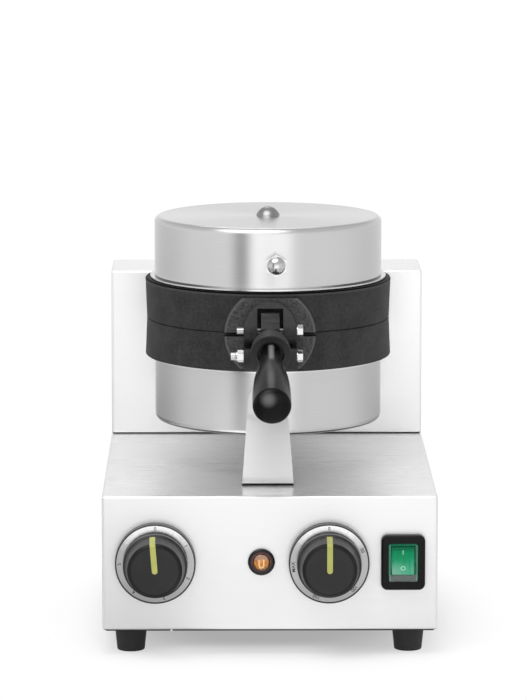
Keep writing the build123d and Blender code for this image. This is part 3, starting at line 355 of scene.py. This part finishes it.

# %% [markdown]
# The casing is stainless sheet, ground in fine straight lines and then folded. The lines run across
# the front and the top, and from front to back on the sides, so the pattern is stretched one way
# and swapped where a face looks sideways. A dark line of painted shade runs along a sheet's foot,
# and on the base's front it is broken by a small notch.


# %% Ground steel sheet
def ground_steel(name, level, roughness, across=1500.0, foot_shade_z=None, notch_x=None, metallic=1.0):
    material, place = new_finish(name)
    normal = place.node("NewGeometry", output="Normal")
    facing_side = normal.axis(0).absolute().rise(0.6, 0.8)
    lying = normal.axis(2).rise(0.6, 0.8)
    along_x = place.scaled(8.0, across, across).noise(1.0, 3.0, 0.6)
    along_y = place.scaled(across, 8.0, across).noise(1.0, 3.0, 0.6)
    lines = along_x + facing_side * (along_y - along_x)
    cloud = place.noise(9.0, 3.0, 0.55)
    tint = (lines * 0.5 + cloud * 0.5).rise(0.25, 0.75).blend(grey(level - 0.02), grey(level + 0.02))
    # Painted shade: faces that lie flat are darkened a little, towards grey 0.20.
    tint = (0.06 * lying).blend(tint, grey(0.20))
    # Painted shade: a dark line along the sheet's foot, where shade falls under the edge and between parts.
    if foot_shade_z is not None:
        foot_shade = place.axis(2).fall(foot_shade_z, foot_shade_z + 0.0006)
        if notch_x is not None:
            foot_shade = foot_shade * (place.axis(0) - notch_x).absolute().rise(0.0006, 0.0012)
        tint = foot_shade.blend(tint, grey(0.05))
    return lay(
        material, place, bump=lines, distance=0.00001, strength=0.4, Base_Color=tint, Metallic=metallic,
        Roughness=roughness - 0.11 * lying + 0.06 * (lines - 0.5) + 0.06 * (cloud - 0.5),
    )


base_foot, base_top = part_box("base_shell")[0].z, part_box("base_shell")[1].z
casing_steel = ground_steel(
    "casing_steel", 0.94, 0.38, foot_shade_z=base_foot + 0.0005, notch_x=-0.0735, metallic=0.74
)
# Painted light: the housing is the casing's sheet, painted lighter (0.99 against 0.94) to look brighter.
housing_steel_painted_lighter = ground_steel("housing_steel_painted_lighter", 0.99, 0.34, foot_shade_z=base_top + 0.0008, metallic=0.74)
strip_steel = ground_steel("strip_steel", 0.73, 0.46, across=900.0, foot_shade_z=base_top + 0.0014)
print("ground steel ready, base top", round(base_top, 4))

# %% [markdown]
# The caps are spun on a lathe, so their lines are rings: round the axis on the wall, and concentric
# on top. Distance from the axis and height together give both from one pattern. A dark line of
# painted shade runs round each cap's foot, and on the upper cap it is faint in the middle.


# %% Spun steel caps
def spun_steel(name, level, roughness, centre, foot_shade_z=None, sides_only=False):
    material, place = new_finish(name)
    shifted = place.about(x=centre[0], y=centre[1])
    radius = shifted.length(z=0.0)
    rings = radius.node(
        "CombineXYZ", {0: radius * 1400.0, 1: shifted.axis(2) * 1400.0, 2: shifted.axis(0) * 6.0}
    ).noise(1.0, 3.0, 0.6)
    cloud = place.noise(14.0, 3.0, 0.5)
    lying = place.node("NewGeometry", output="Normal").axis(2).rise(0.6, 0.9)
    tint = (rings * 0.4 + cloud * 0.6).rise(0.3, 0.7).blend(grey(level - 0.03), grey(level + 0.02))
    # Painted shade: faces that lie flat, such as the caps' tops, are darkened towards grey 0.20.
    tint = (0.15 * lying).blend(tint, grey(0.20))
    # Painted shade: a dark line round the cap's foot, where shade falls in the gap below it.
    if foot_shade_z is not None:
        foot_shade = (place.axis(2) - foot_shade_z).absolute().fall(0.0004, 0.0008)
        if sides_only:
            foot_shade = foot_shade * (0.15 + 0.85 * shifted.axis(0).absolute().rise(0.025, 0.060))
        tint = (foot_shade * 0.85).blend(tint, grey(0.02))
    return lay(
        material, place, bump=rings, distance=0.00001, strength=0.5, Base_Color=tint, Metallic=1.0,
        Roughness=roughness - 0.14 * lying + 0.06 * (rings - 0.5) + 0.05 * (cloud - 0.5),
        Anisotropic=0.85, Anisotropic_Rotation=0.25,
    )


head_low, head_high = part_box("upper_cap")
head_centre = (head_low + head_high) / 2
cap_steel = spun_steel("cap_steel", 0.755, 0.30, head_centre, foot_shade_z=head_low.z + 0.0005, sides_only=True)
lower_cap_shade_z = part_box("lower_cap")[0].z + 0.0015
lower_cap_steel = spun_steel("lower_cap_steel", 0.75, 0.32, head_centre, foot_shade_z=lower_cap_shade_z)
flange_steel = spun_steel("flange_steel", 0.80, 0.24, head_centre)
print("head centre", [round(v, 4) for v in head_centre[:2]])

# %% [markdown]
# The two plates are cast in sand and blackened, but not evenly. The mould itself is machined and
# coated, so it is smooth and a little glossy. The boss in front was left rough and looks paler, with
# a painted highlight round its edge. The ledge under the upper flange is painted deep black as
# painted shade, with a paler band just below it. First come the masks, each 1 where its kind of
# surface lies. A ray that passes beside the ears finds the boss's front.

# %% Where the castings differ
mould_radius = 0.066
rim_radius = 0.077
boss_radius = 0.034
boss_rear = -0.0731
latch_centre = Vector((0.0006, 0.0, 0.2355))
before_boss = Vector((0.0286, -0.2, 0.2475))

cast_black, place = new_finish("cast_black")
radius = place.about(x=head_centre.x, y=head_centre.y).length(z=0.0)
machined = radius.fall(mould_radius - 0.0005, mould_radius + 0.0005)

met, spot, _, _ = nodes["upper_plate"].ray_cast(before_boss, (0.0, 1.0, 0.0))
print("boss front met", met, round(spot.y, 4))
_, from_latch = round_front(place, latch_centre)
boss_front = spot.y - 0.0006
boss = place.axis(1).rise(boss_front, boss_front + 0.0004) * place.axis(1).fall(boss_rear, boss_rear + 0.001)
boss = boss * from_latch.fall(boss_radius - 0.0002, boss_radius + 0.0005)
# Painted highlight: a paler line round the boss's edge.
boss_edge_highlight = boss * from_latch.rise(boss_radius - 0.0018, boss_radius - 0.0008)

rim_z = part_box("upper_flange")[0].z
outside = radius.rise(rim_radius, rim_radius + 0.0005)
# Painted shade: the ledge under the upper flange is painted near black and made metallic, so it shows almost
# nothing.
ledge_shade = place.axis(2).rise(rim_z - 0.0014, rim_z - 0.0009) * outside
below_ledge = place.axis(2).rise(rim_z - 0.0032, rim_z - 0.0020) * (1.0 - ledge_shade) * outside

# %% [markdown]
# Sand leaves grains of about half a millimetre, with pits between them. The grains, the pits and a
# slow mottling make both the colour and the bump.

# %% Black castings
grain = place.noise(1500.0, 3.0, 0.65)
mottle = place.noise(480.0, 4.0, 0.75)
pits = place.node("TexVoronoi", {"Vector": place, "Scale": 900.0}, feature="F1")
cloud = place.noise(60.0, 3.0, 0.6)
coarse = place.noise(430.0, 5.0, 0.8)
tone = (mottle * 0.6 + cloud * 0.4).rise(0.3, 0.7).blend(grey(0.009), grey(0.032))
tone = (boss * coarse.rise(0.3, 0.75)).blend(tone, grey(0.105))
tone = (0.5 * boss_edge_highlight).blend(tone, grey(0.12))
tone = machined.blend(tone, grey(0.016))
tone = (below_ledge * (0.3 + 0.7 * mottle)).blend(tone, grey(0.055))
tone = ledge_shade.blend(tone, grey(0.003))
sand = grain * 0.4 + pits * 0.3 + mottle * 0.8
sand = sand * (1.0 - machined) * (1.0 - boss) + boss * coarse * 1.6
lay(
    cast_black, place, bump=sand, distance=0.00022, strength=0.8, Base_Color=tone, Metallic=ledge_shade,
    Roughness=0.56 + 0.12 * (grain - 0.5) - 0.20 * machined, Specular_IOR_Level=0.35,
)

forged_black, place = new_finish("forged_black")
grain = place.noise(1100.0, 3.0, 0.6)
cloud = place.noise(90.0, 2.0, 0.5)
lay(
    forged_black, place, bump=grain, distance=0.00010, strength=0.7,
    Base_Color=(grain * 0.5 + cloud * 0.5).rise(0.3, 0.7).blend(grey(0.012), grey(0.024)),
    Roughness=0.46 + 0.12 * (cloud - 0.5), Specular_IOR_Level=0.35,
)
print("castings ready")

# %% [markdown]
# Plastics and rubber differ mostly in how they shine. The grip is a hard thermoset with a soft gloss,
# with a painted highlight on its end and along its neck. The lamp's bezel has the lamp's amber glow
# painted on its inner rim, and the feet are matt rubber.


# %% Plastics and rubber
end_highlight_centre = (-0.0021, 0.0, 0.2115)
neck_highlight_middle = 0.0008


def moulded(name, colour, roughness, grain_size=1800.0, depth=0.00002, **coats):
    """A moulding, in one colour with a light mottling or painted by a function of the place."""
    material, place = new_finish(name)
    grain = place.noise(grain_size, 2.0, 0.5)
    cloud = place.noise(45.0, 2.0, 0.5)
    if callable(colour):
        tint = colour(place)
    else:
        darker = (*(c * 0.82 for c in colour[:3]), 1.0)
        tint = cloud.rise(0.3, 0.7).blend(darker, colour)
    return lay(
        material, place, bump=grain, distance=depth, strength=0.5, Base_Color=tint,
        Roughness=roughness + 0.06 * (cloud - 0.5) + 0.05 * (grain - 0.5), **coats,
    )


def grip_painted_highlights(place):
    """Black, with painted highlights: a pale spot on the grip's end and a streak along its neck."""
    _, from_end_highlight = round_front(place, end_highlight_centre)
    # Painted highlights: a pale spot on the end and a pale streak down the neck.
    end_highlight = from_end_highlight.fall(0.0010, 0.0075) * place.axis(1).fall(-0.2215, -0.2185)
    neck_highlight = (place.axis(0) - neck_highlight_middle).absolute().fall(0.0004, 0.0030) * place.axis(1).rise(-0.172, -0.157)
    return neck_highlight.blend(end_highlight.blend(grey(0.003), grey(0.12)), grey(0.20))


lens_low, lens_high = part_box("lamp_lens")
lens_middle = (lens_low + lens_high) / 2


def lit_bezel(place):
    """Black, with the lamp's amber glow painted on the inner rim, stronger towards the top."""
    local, radius = round_front(place, lens_middle)
    # Painted glow: the lamp's amber on the bezel's inner rim, brighter towards the top.
    painted_rim_glow = radius.fall(0.0068, 0.0084) * (0.6 + 0.4 * local.axis(2).rise(-0.004, 0.003))
    return painted_rim_glow.blend(grey(0.006), (0.13, 0.055, 0.050, 1.0))


grip_plastic = moulded("grip_plastic", grip_painted_highlights, 0.24, Specular_IOR_Level=0.15)
bezel_plastic = moulded("bezel_plastic", lit_bezel, 0.24, Specular_IOR_Level=0.34)
frame_plastic = moulded("frame_plastic", grey(0.006), 0.30, Specular_IOR_Level=0.17)
inner_plastic = moulded("inner_plastic", grey(0.05), 0.55)
terminal_plastic = moulded("terminal_plastic", (0.72, 0.69, 0.60, 1.0), 0.5)
pointer_lime = moulded("pointer_lime", (0.53, 0.54, 0.14, 1.0), 0.42)
dial_ink = moulded("dial_ink", grey(0.045), 0.5)
foot_rubber = moulded("foot_rubber", grey(0.026), 0.72, grain_size=900.0, depth=0.00012)
print("plastics ready")

# %% [markdown]
# Screws, bolts and nuts are bright zinc. They are handled and turned with tools, so their shine is
# slightly broken up. The two latch bolts also show a thread at their free end, drawn as painted
# shade in its grooves, a dark washer at the other, and painted shade between the ears.


# %% Fasteners
def bright_metal(name, level, roughness):
    material, place = new_finish(name)
    scuffs = place.noise(380.0, 3.0, 0.6)
    return lay(
        material, place, bump=scuffs, distance=0.00004, strength=0.5,
        Base_Color=scuffs.rise(0.3, 0.7).blend(grey(level - 0.06), grey(level)), Metallic=1.0,
        Roughness=roughness + 0.16 * (scuffs - 0.5),
    )


bright_fasteners = bright_metal("bright_fasteners", 0.66, 0.16)
dull_screw = bright_metal("dull_screw", 0.40, 0.30)

thread_pitch = 0.0008
thread_from = -0.0200
washer_middle = 0.0192
ears_inside = 0.0105
latch_bolts, place = new_finish("latch_bolts")
along_bolt = place.axis(0) - latch_centre.x
scuffs = place.noise(380.0, 3.0, 0.6)
# Painted shade: dark stripes that draw the thread's grooves.
painted_groove_shade = (along_bolt * (2 * math.pi / thread_pitch)).maths("SINE").fall(-0.4, 0.4)
painted_groove_shade = painted_groove_shade * along_bolt.fall(thread_from, thread_from + 0.0004)
washer = (along_bolt - washer_middle).absolute().fall(0.0007, 0.0010)
# Painted shade: the bolt is darkened where it lies between the ears.
shade_between_ears = along_bolt.absolute().fall(ears_inside, ears_inside + 0.0005)
tone = scuffs.rise(0.3, 0.7).blend(grey(0.58), grey(0.66))
tone = (0.7 * painted_groove_shade).blend(tone, grey(0.10))
tone = shade_between_ears.blend(tone, grey(0.10))
tone = (0.6 * washer).blend(tone, grey(0.16))
lay(
    latch_bolts, place, bump=scuffs, distance=0.00004, strength=0.5, Base_Color=tone, Metallic=1.0,
    Roughness=0.18 + 0.16 * (scuffs - 0.5),
)
print("fasteners ready")

# %% [markdown]
# The heaters have been hot, so their steel is stained. The mineral wool round them lies in layers.

# %% Heaters and insulation
heater_steel, place = new_finish("heater_steel")
stain = place.noise(30.0, 3.0, 0.5)
lay(
    heater_steel, place, Metallic=1.0, Roughness=0.42 + 0.1 * (stain - 0.5),
    Base_Color=stain.rise(0.3, 0.7).blend((0.20, 0.17, 0.15, 1.0), (0.40, 0.34, 0.27, 1.0)),
)
mineral_wool, place = new_finish("mineral_wool")
fibres = place.scaled(300.0, 300.0, 1200.0).noise(1.0, 4.0, 0.7)
lay(
    mineral_wool, place, bump=fibres, distance=0.0006, Roughness=0.95,
    Base_Color=fibres.rise(0.3, 0.7).blend((0.55, 0.50, 0.38, 1.0), (0.82, 0.78, 0.66, 1.0)),
)
print("heater and wool ready")

# %% [markdown]
# A dial is a black cup with a ground silver ring set into its front. Both are one CAD piece, so the
# finish changes with the distance from the dial's own centre. The ring carries a painted highlight at
# the top and painted shade at the bottom. A knob is satin plastic with a hint of moulded grain, a
# darker, half metallic ring round its face, and a side painted paler at the left and right as a
# painted highlight.


# %% Dial and knob finishes
silver_radius = 0.0290
darker_ring_radius = 0.0172


def dial_finish(name, centre, face_y):
    material, place = new_finish(name)
    local, radius = round_front(place, centre)
    plate = radius.fall(silver_radius - 0.00015, silver_radius)
    plate = plate * place.axis(1).fall(face_y + 0.0012, face_y + 0.0014)
    turn = local.axis(0).maths("ARCTAN2", local.axis(2))
    lines = radius.node("CombineXYZ", {0: turn * 9.0, 1: radius * 60.0}).noise(1.0, 3.0, 0.6)
    # Painted highlight and shade: the ring is painted bright at the top, in streaks, and darker at the
    # bottom.
    upward = local.axis(2) / radius
    silver_painted_light = (upward * (0.75 + 0.5 * lines)).rise(0.35, 0.95).blend(grey(0.50), grey(0.99))
    silver_painted_light = (upward * -1.0).rise(0.3, 1.0).blend(silver_painted_light, grey(0.40))
    return lay(
        material, place, bump=lines * plate, distance=0.00002, strength=0.5,
        Base_Color=plate.blend(grey(0.03), silver_painted_light), Metallic=plate,
        Roughness=0.36 - 0.14 * plate + 0.10 * (lines - 0.5),
    )


def knob_finish(name, centre, face_y):
    material, place = new_finish(name)
    local, radius = round_front(place, centre)
    grain = place.noise(1800.0, 2.0, 0.5)
    cloud = place.noise(45.0, 2.0, 0.5)
    # A ring round the face, a little darker and half metallic.
    darker_ring = radius.rise(darker_ring_radius, darker_ring_radius + 0.0008)
    darker_ring = darker_ring * place.axis(1).fall(face_y + 0.0016, face_y + 0.0026)
    # Painted highlight: the knob's side is painted paler, most at the left and right and towards the face.
    flank_highlight = place.axis(1).rise(face_y + 0.0028, face_y + 0.0036)
    flank_highlight = flank_highlight * (0.3 + 0.7 * (local.axis(0) / radius).absolute())
    flank_highlight = flank_highlight * (1.0 - 0.8 * place.axis(1).rise(face_y + 0.006, face_y + 0.016))
    satin = cloud.rise(0.3, 0.7).blend(grey(0.012), grey(0.017))
    satin = flank_highlight.blend(satin, grey(0.060))
    satin = (0.5 * darker_ring).blend(satin, grey(0.011))
    return lay(
        material, place, bump=grain, distance=0.00002, strength=0.5, Base_Color=satin, Metallic=darker_ring * 0.5,
        Roughness=0.38 + 0.06 * (cloud - 0.5) + 0.05 * (grain - 0.5), Specular_IOR_Level=0.38,
    )


dial_materials, knob_materials, dial_places = {}, {}, {}
for name in ("timer", "thermostat"):
    low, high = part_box(f"{name}_dial")
    centre = (low + high) / 2
    dial_places[name] = Vector((centre.x, low.y, centre.z))
    dial_materials[name] = dial_finish(f"{name}_dial_plate", centre, low.y)
    knob_materials[name] = knob_finish(f"{name}_knob_plastic", centre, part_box(f"{name}_knob")[0].y)
    print(name, "dial at", [round(v, 4) for v in centre])

# %% [markdown]
# Each CAD piece now gets its finish. The switch's cover and rocker get theirs further down.

# %% Hand out the finishes
finishes = {
    casing_steel: ["base_shell", "bottom_plate", "rear_cover"],
    housing_steel_painted_lighter: ["rear_housing"],
    strip_steel: ["support_strip"],
    cap_steel: ["upper_cap"],
    lower_cap_steel: ["lower_cap"],
    flange_steel: ["upper_flange", "lower_flange"],
    cast_black: ["upper_plate", "lower_plate"],
    forged_black: ["handle_bracket", "hinge_bracket"],
    bright_fasteners: [
        "case_screws", "foot_screws", "bracket_screws", "strip_screws", "strip_bolt", "upper_stud",
        "upper_dome_nut", "lower_dome_nut", "catch_nut", "hinge_pin", "hinge_clip",
        "conduit_pipe", "conduit_nuts", "thermostat_probe", "timer_shaft", "thermostat_shaft", "handle_rod",
    ],
    dull_screw: ["top_screw"],
    latch_bolts: ["pivot_bolt", "catch_bolt"],
    heater_steel: ["upper_heater", "lower_heater"],
    mineral_wool: ["upper_insulation", "lower_insulation"],
    foot_rubber: ["foot_front_left", "foot_front_right", "foot_rear_left", "foot_rear_right"],
    grip_plastic: ["handle_grip"],
    pointer_lime: ["timer_pointer", "thermostat_pointer"],
    dial_materials["timer"]: ["timer_dial"],
    dial_materials["thermostat"]: ["thermostat_dial"],
    knob_materials["timer"]: ["timer_knob"],
    knob_materials["thermostat"]: ["thermostat_knob"],
    inner_plastic: ["timer_body", "thermostat_body", "lamp_body", "switch_body", "cord_gland"],
    terminal_plastic: ["terminal_block"],
    bezel_plastic: ["lamp_bezel"],
    frame_plastic: ["switch_frame"],
}


def give(piece, material):
    piece.data.materials.clear()
    piece.data.materials.append(material)


for material, names in finishes.items():
    for name in names:
        give(nodes[name], material)
bare = sorted(set(nodes) - {name for names in finishes.values() for name in names})
print("still without a finish:", bare)

# %% [markdown]
# New pieces are modelled where they belong and then settled: the object goes back to the origin and
# its place goes into its mesh, as with the CAD pieces.


# %% Modelling helpers
ink_thickness = 0.00006


def nothing_selected():
    bpy.ops.object.select_all(action="DESELECT")


def settle(piece, name, body, material):
    """Names the piece, puts its place into its mesh and joins it to its body."""
    nothing_selected()
    piece.select_set(True)
    bpy.context.view_layer.objects.active = piece
    bpy.ops.object.transform_apply(location=True, rotation=True, scale=True)
    piece.name = name
    piece.data.name = name
    give(piece, material)
    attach(piece, body)


def printed(name, text, size, place, turn, body, material, normal=(0.0, -1.0, 0.0)):
    """A character printed on a face with this normal, turned clockwise by turn degrees."""
    nothing_selected()
    bpy.ops.object.text_add(location=(0.0, 0.0, 0.0))
    piece = bpy.context.object
    piece.data.body = text
    piece.data.size = size
    piece.data.align_x, piece.data.align_y = "CENTER", "CENTER"
    piece.data.extrude = ink_thickness / 2
    piece.data.offset = size * 0.012
    bpy.ops.object.convert(target="MESH")
    piece = bpy.context.object
    upright = Vector(normal).to_track_quat("Z", "Y").to_matrix().to_4x4()
    spin = Matrix.Rotation(math.radians(-turn), 4, "Z")
    piece.matrix_world = Matrix.Translation(place) @ upright @ spin
    settle(piece, name, body, material)


print("modelling helpers ready")

# %% [markdown]
# The dials carry plain numbers, printed with their tops outwards. Text is made a mesh, so it has its
# own thickness of a few hundredths of a millimetre.

# %% Dial lettering
letter_height = 0.0037
ring_radius = 0.02655
ring_sunk = 0.00035
lettering = {
    "timer": [("0", 0), ("1", 59), ("2", 114), ("3", 166), ("4", 217), ("5", 270)],
    "thermostat": [("0", 0), ("50", 67.5), ("100", 135), ("150", 201), ("MAX", 265)],
}
for dial, marks in lettering.items():
    for text, angle in marks:
        around = math.radians(angle)
        out = Vector((math.sin(around) * ring_radius, ring_sunk, math.cos(around) * ring_radius))
        spot = dial_places[dial] + out
        name = f"{dial}_mark_{text.lower()}"
        printed(name, text, letter_height, spot, angle, "base", dial_ink)
print("marks", sum(len(marks) for marks in lettering.values()))

# %% [markdown]
# The pilot lamp is a clear amber dome over a bright cup, with the bent wire of a neon tube in
# between. Modelled in that order, it looks deep, where a painted disc would look flat. Two helpers
# come first: one picks faces by their place, the other starts a round piece that faces the front.


# %% Edit helpers
def choose_faces(piece, test):
    """Selects, in edit mode, the faces whose centre and normal pass the test, and nothing else."""
    bpy.ops.object.mode_set(mode="EDIT")
    bpy.ops.mesh.select_mode(type="FACE")
    bpy.ops.mesh.select_all(action="DESELECT")
    bpy.ops.object.mode_set(mode="OBJECT")
    for face in piece.data.polygons:
        face.select = test(face.center, face.normal)
    bpy.ops.object.mode_set(mode="EDIT")


def forward_cylinder(radius, length, middle):
    """A cylinder that lies along the view, with its own place still in the object."""
    nothing_selected()
    bpy.ops.mesh.primitive_cylinder_add(
        vertices=64, radius=radius, depth=length, location=middle, rotation=(math.pi / 2, 0.0, 0.0)
    )
    bpy.ops.object.transform_apply(location=False, rotation=True, scale=False)
    return bpy.context.object


print("edit helpers ready")

# %% [markdown]
# The dome is tinted glass. The cup glows orange, with a pinkish painted reflection of the dome above
# its middle, and is brown at its rim. The wire is a pale pink.

# %% Lamp finishes
amber_glass, place = new_finish("amber_glass")
streaks = place.noise(500.0, 2.0, 0.5)
lay(
    amber_glass, place, Transmission_Weight=1.0, IOR=1.46, Roughness=0.05 + 0.04 * streaks,
    Base_Color=streaks.rise(0.2, 0.8).blend((0.96, 0.80, 0.56, 1.0), (1.0, 0.86, 0.64, 1.0)),
)
lamp_cup, place = new_finish("lamp_cup")
local, radius = round_front(place, lens_middle)
warm = place.noise(900.0, 2.0, 0.5).rise(0.35, 0.65).blend((0.36, 0.13, 0.01, 1.0), (0.66, 0.34, 0.05, 1.0))
# Painted reflection: above its middle the cup turns pinkish grey, as the dome's reflection of the room.
warm = local.axis(2).rise(-0.0004, 0.0030).blend(warm, (0.42, 0.30, 0.33, 1.0))
warm = radius.rise(0.0050, 0.0064).blend(warm, (0.15, 0.058, 0.040, 1.0))
lay(lamp_cup, place, Base_Color=warm, Roughness=0.3, Emission_Color=warm, Emission_Strength=0.40)
neon_wire, place = new_finish("neon_wire")
shimmer = place.noise(900.0, 2.0, 0.5).blend((0.84, 0.68, 0.52, 1.0), (0.92, 0.78, 0.70, 1.0))
lay(neon_wire, place, Base_Color=shimmer, Roughness=0.4, Emission_Color=shimmer, Emission_Strength=0.55)
print("lamp finishes ready")

# %% [markdown]
# The dome starts as a short cylinder. Its front face is pushed forward and shrunk in steps that follow
# a quarter circle, its rear face is deleted, and a Solidify modifier gives it a wall.

# %% Lamp dome
lens_radius = (lens_high.x - lens_low.x) / 2
dome_rise = 0.002
dome_wall = 0.0006
rim_length = 0.003
steps = 5
rim_middle = lens_low.y + dome_rise + rim_length / 2
dome = forward_cylinder(lens_radius, rim_length, (lens_middle.x, rim_middle, lens_middle.z))
choose_faces(dome, lambda centre, normal: normal.y < -0.9)
for step in range(steps):
    before = step / (steps + 1) * math.pi / 2
    after = (step + 1) / (steps + 1) * math.pi / 2
    rise = dome_rise * (math.sin(after) - math.sin(before))
    shrink = math.cos(after) / math.cos(before)
    bpy.ops.mesh.extrude_region_move(TRANSFORM_OT_translate={"value": (0.0, -rise, 0.0)})
    bpy.ops.transform.resize(value=(shrink, 1.0, shrink))
choose_faces(dome, lambda centre, normal: normal.y > 0.9)
bpy.ops.mesh.delete(type="FACE")
bpy.ops.object.mode_set(mode="OBJECT")
wall = dome.modifiers.new("wall", "SOLIDIFY")
wall.thickness, wall.offset = dome_wall, -1.0
bpy.ops.object.modifier_apply(modifier=wall.name)
bpy.ops.object.shade_smooth_by_angle(angle=math.radians(40))
settle(dome, "lamp_dome", "base", amber_glass)
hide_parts("lamp_lens")
print("lens radius", round(lens_radius, 5), "from", round(lens_low.y, 5), "to", round(lens_high.y, 5))

# %% [markdown]
# The cup is a disc whose front face is inset twice and pushed back each time, so it has a low rim and
# a shallow floor.

# %% Lamp cup
cup_middle = (lens_middle.x, lens_high.y - 0.0008, lens_middle.z)
cup = forward_cylinder(lens_radius - 0.0008, 0.0012, cup_middle)
choose_faces(cup, lambda centre, normal: normal.y < -0.9)
for inset, sunk in ((0.0007, 0.0007), (0.0022, 0.0002)):
    bpy.ops.mesh.inset(thickness=inset)
    bpy.ops.transform.translate(value=(0.0, sunk, 0.0))
bpy.ops.object.mode_set(mode="OBJECT")
bpy.ops.object.shade_smooth_by_angle(angle=math.radians(35))
settle(cup, "lamp_cup", "base", lamp_cup)
print("cup", [round(v, 4) for v in cup.dimensions])

# %% [markdown]
# The neon wire is a circle, drawn out upwards into one leg. Its first ring is then spun half a turn
# round the bottom of the U and drawn out again into the other leg.

# %% Neon wire
wire_radius = 0.00045
leg_out = 0.0017
leg_length = 0.0042
leg_foot = lens_middle.z - 0.0024
wire_y = lens_low.y + 0.0026
nothing_selected()
bpy.ops.mesh.primitive_circle_add(
    vertices=12, radius=wire_radius, location=(lens_middle.x - leg_out, wire_y, leg_foot)
)
neon = bpy.context.object
bpy.ops.object.mode_set(mode="EDIT")
bpy.ops.mesh.select_mode(type="VERT")
bpy.ops.mesh.select_all(action="SELECT")
bpy.ops.mesh.extrude_region_move(TRANSFORM_OT_translate={"value": (0.0, 0.0, leg_length)})
bpy.ops.mesh.select_all(action="DESELECT")
bpy.ops.object.mode_set(mode="OBJECT")
for vertex in neon.data.vertices:
    vertex.select = vertex.co.z < 0.0001
for edge in neon.data.edges:
    edge.select = all(neon.data.vertices[v].select for v in edge.vertices)
bpy.ops.object.mode_set(mode="EDIT")
bpy.ops.mesh.spin(
    steps=16, angle=math.pi, center=(lens_middle.x, wire_y, leg_foot), axis=(0.0, 1.0, 0.0)
)
bpy.ops.mesh.extrude_region_move(TRANSFORM_OT_translate={"value": (0.0, 0.0, leg_length)})
bpy.ops.mesh.select_all(action="SELECT")
bpy.ops.mesh.remove_doubles(threshold=0.00001)
bpy.ops.mesh.normals_make_consistent(inside=False)
bpy.ops.object.mode_set(mode="OBJECT")
bpy.ops.object.shade_smooth()
settle(neon, "lamp_neon", "base", neon_wire)
print("neon", [round(v, 4) for v in neon.dimensions])

# %% [markdown]
# The mains switch is a green rocker under a clear splash cover. The cover is smeared plastic: its
# lower lip looks grey, its front edges carry a painted highlight, a thin line of light at the sides,
# and the rest of it glows faintly green with painted light from the rocker.

# %% Splash cover
rocker_low, rocker_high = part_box("switch_rocker")
rocker_middle = (rocker_low + rocker_high) / 2
cover_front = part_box("switch_cover")[0].y
splash_cover, place = new_finish("splash_cover")
smears = place.noise(160.0, 3.0, 0.6)
lip = place.axis(2).fall(rocker_low.z - 0.0004, rocker_low.z + 0.0004)
from_middle = (place.axis(0) - rocker_middle.x).absolute()
in_front = place.axis(1).fall(cover_front + 0.0004, cover_front + 0.0012)
# Painted highlight: a thin glowing line along the cover's front edges at the sides.
painted_edge_highlight = from_middle.rise(0.0094, 0.0098) * in_front
clear = smears.blend((0.86, 0.95, 0.91, 1.0), (0.93, 1.0, 0.97, 1.0))
# Painted light: the cover glows faintly green, except at its lip.
painted_green_glow = lip.blend((0.0, 0.030, 0.014, 1.0), grey(0.0))
lay(
    splash_cover, place, Base_Color=lip.blend(clear, (0.50, 0.56, 0.55, 1.0)), Metallic=lip * 0.22,
    Transmission_Weight=1.0, IOR=1.13, Roughness=0.05 + 0.08 * smears,
    Emission_Color=painted_edge_highlight.blend(painted_green_glow, (0.05, 0.13, 0.09, 1.0)), Emission_Strength=1.0,
)
give(nodes["switch_cover"], splash_cover)
print("cover front", round(cover_front, 4))

# %% [markdown]
# The rocker glows from inside, in soft upright bands. It is brighter at the bottom, carries a painted
# shadow under the cover's top edge, has a darker line down its middle, and is hazy at its lower left.

# %% Lit rocker
lit_green, place = new_finish("lit_green")
local = place.about(*rocker_middle)
bands = place.scaled(420.0, 1.0, 30.0).noise(1.0, 2.0, 0.5)
middle_line = local.axis(0).absolute().fall(0.0002, 0.0006)
# Painted shadow: the rocker's glow is darkened under the cover's top edge.
painted_overhang_shadow = local.axis(2).rise(0.0066, 0.0082)
haze = local.axis(2).fall(-0.0100, 0.0010) * (1.0 - 0.7 * local.axis(0).rise(-0.0060, 0.0050))
glow = local.axis(2).rise(-0.0075, 0.0060).blend((0.052, 0.32, 0.20, 1.0), (0.0, 0.16, 0.050, 1.0))
glow = (0.75 * bands.fall(0.35, 0.60)).blend(glow, (0.0, 0.12, 0.05, 1.0))
glow = (0.45 * middle_line).blend(glow, (0.0, 0.08, 0.03, 1.0))
glow = painted_overhang_shadow.blend(glow, (0.0, 0.035, 0.015, 1.0))
glow = (0.9 * haze).blend(glow, (0.24, 0.36, 0.33, 1.0))
lay(
    lit_green, place, Base_Color=bands.blend((0.0, 0.05, 0.02, 1.0), (0.005, 0.09, 0.045, 1.0)),
    Roughness=0.28, Specular_IOR_Level=0.1, Emission_Color=glow, Emission_Strength=0.88,
)
give(nodes["switch_rocker"], lit_green)
print("rocker middle", [round(v, 4) for v in rocker_middle])

# %% [markdown]
# The rocker's face leans, so a ray finds where it lies and which way it looks under each mark. The
# marks ride on the rocker and tilt with it.

# %% Marks on the rocker
mark_white, place = new_finish("mark_white")
chalk = place.noise(1200.0, 2.0, 0.5).blend((0.38, 0.66, 0.52, 1.0), (0.50, 0.76, 0.64, 1.0))
lay(mark_white, place, Base_Color=chalk, Roughness=0.5, Emission_Color=chalk, Emission_Strength=0.10)


def on_rocker(rise):
    """The point of the rocker's face at this height above its middle, and the face's normal there."""
    start = Vector((rocker_middle.x, rocker_low.y - 0.01, rocker_middle.z + rise))
    found, spot, normal, _ = nodes["switch_rocker"].ray_cast(start, (0.0, 1.0, 0.0))
    print("rocker face met", found, [round(v, 4) for v in spot])
    return spot + normal * (ink_thickness / 2), normal


for name, text, size, rise in (("on", "I", 0.0048, 0.0062), ("off", "O", 0.0046, -0.0056)):
    spot, normal = on_rocker(rise)
    printed(f"rocker_mark_{name}", text, size, spot, 0.0, "rocker", mark_white, normal=normal)
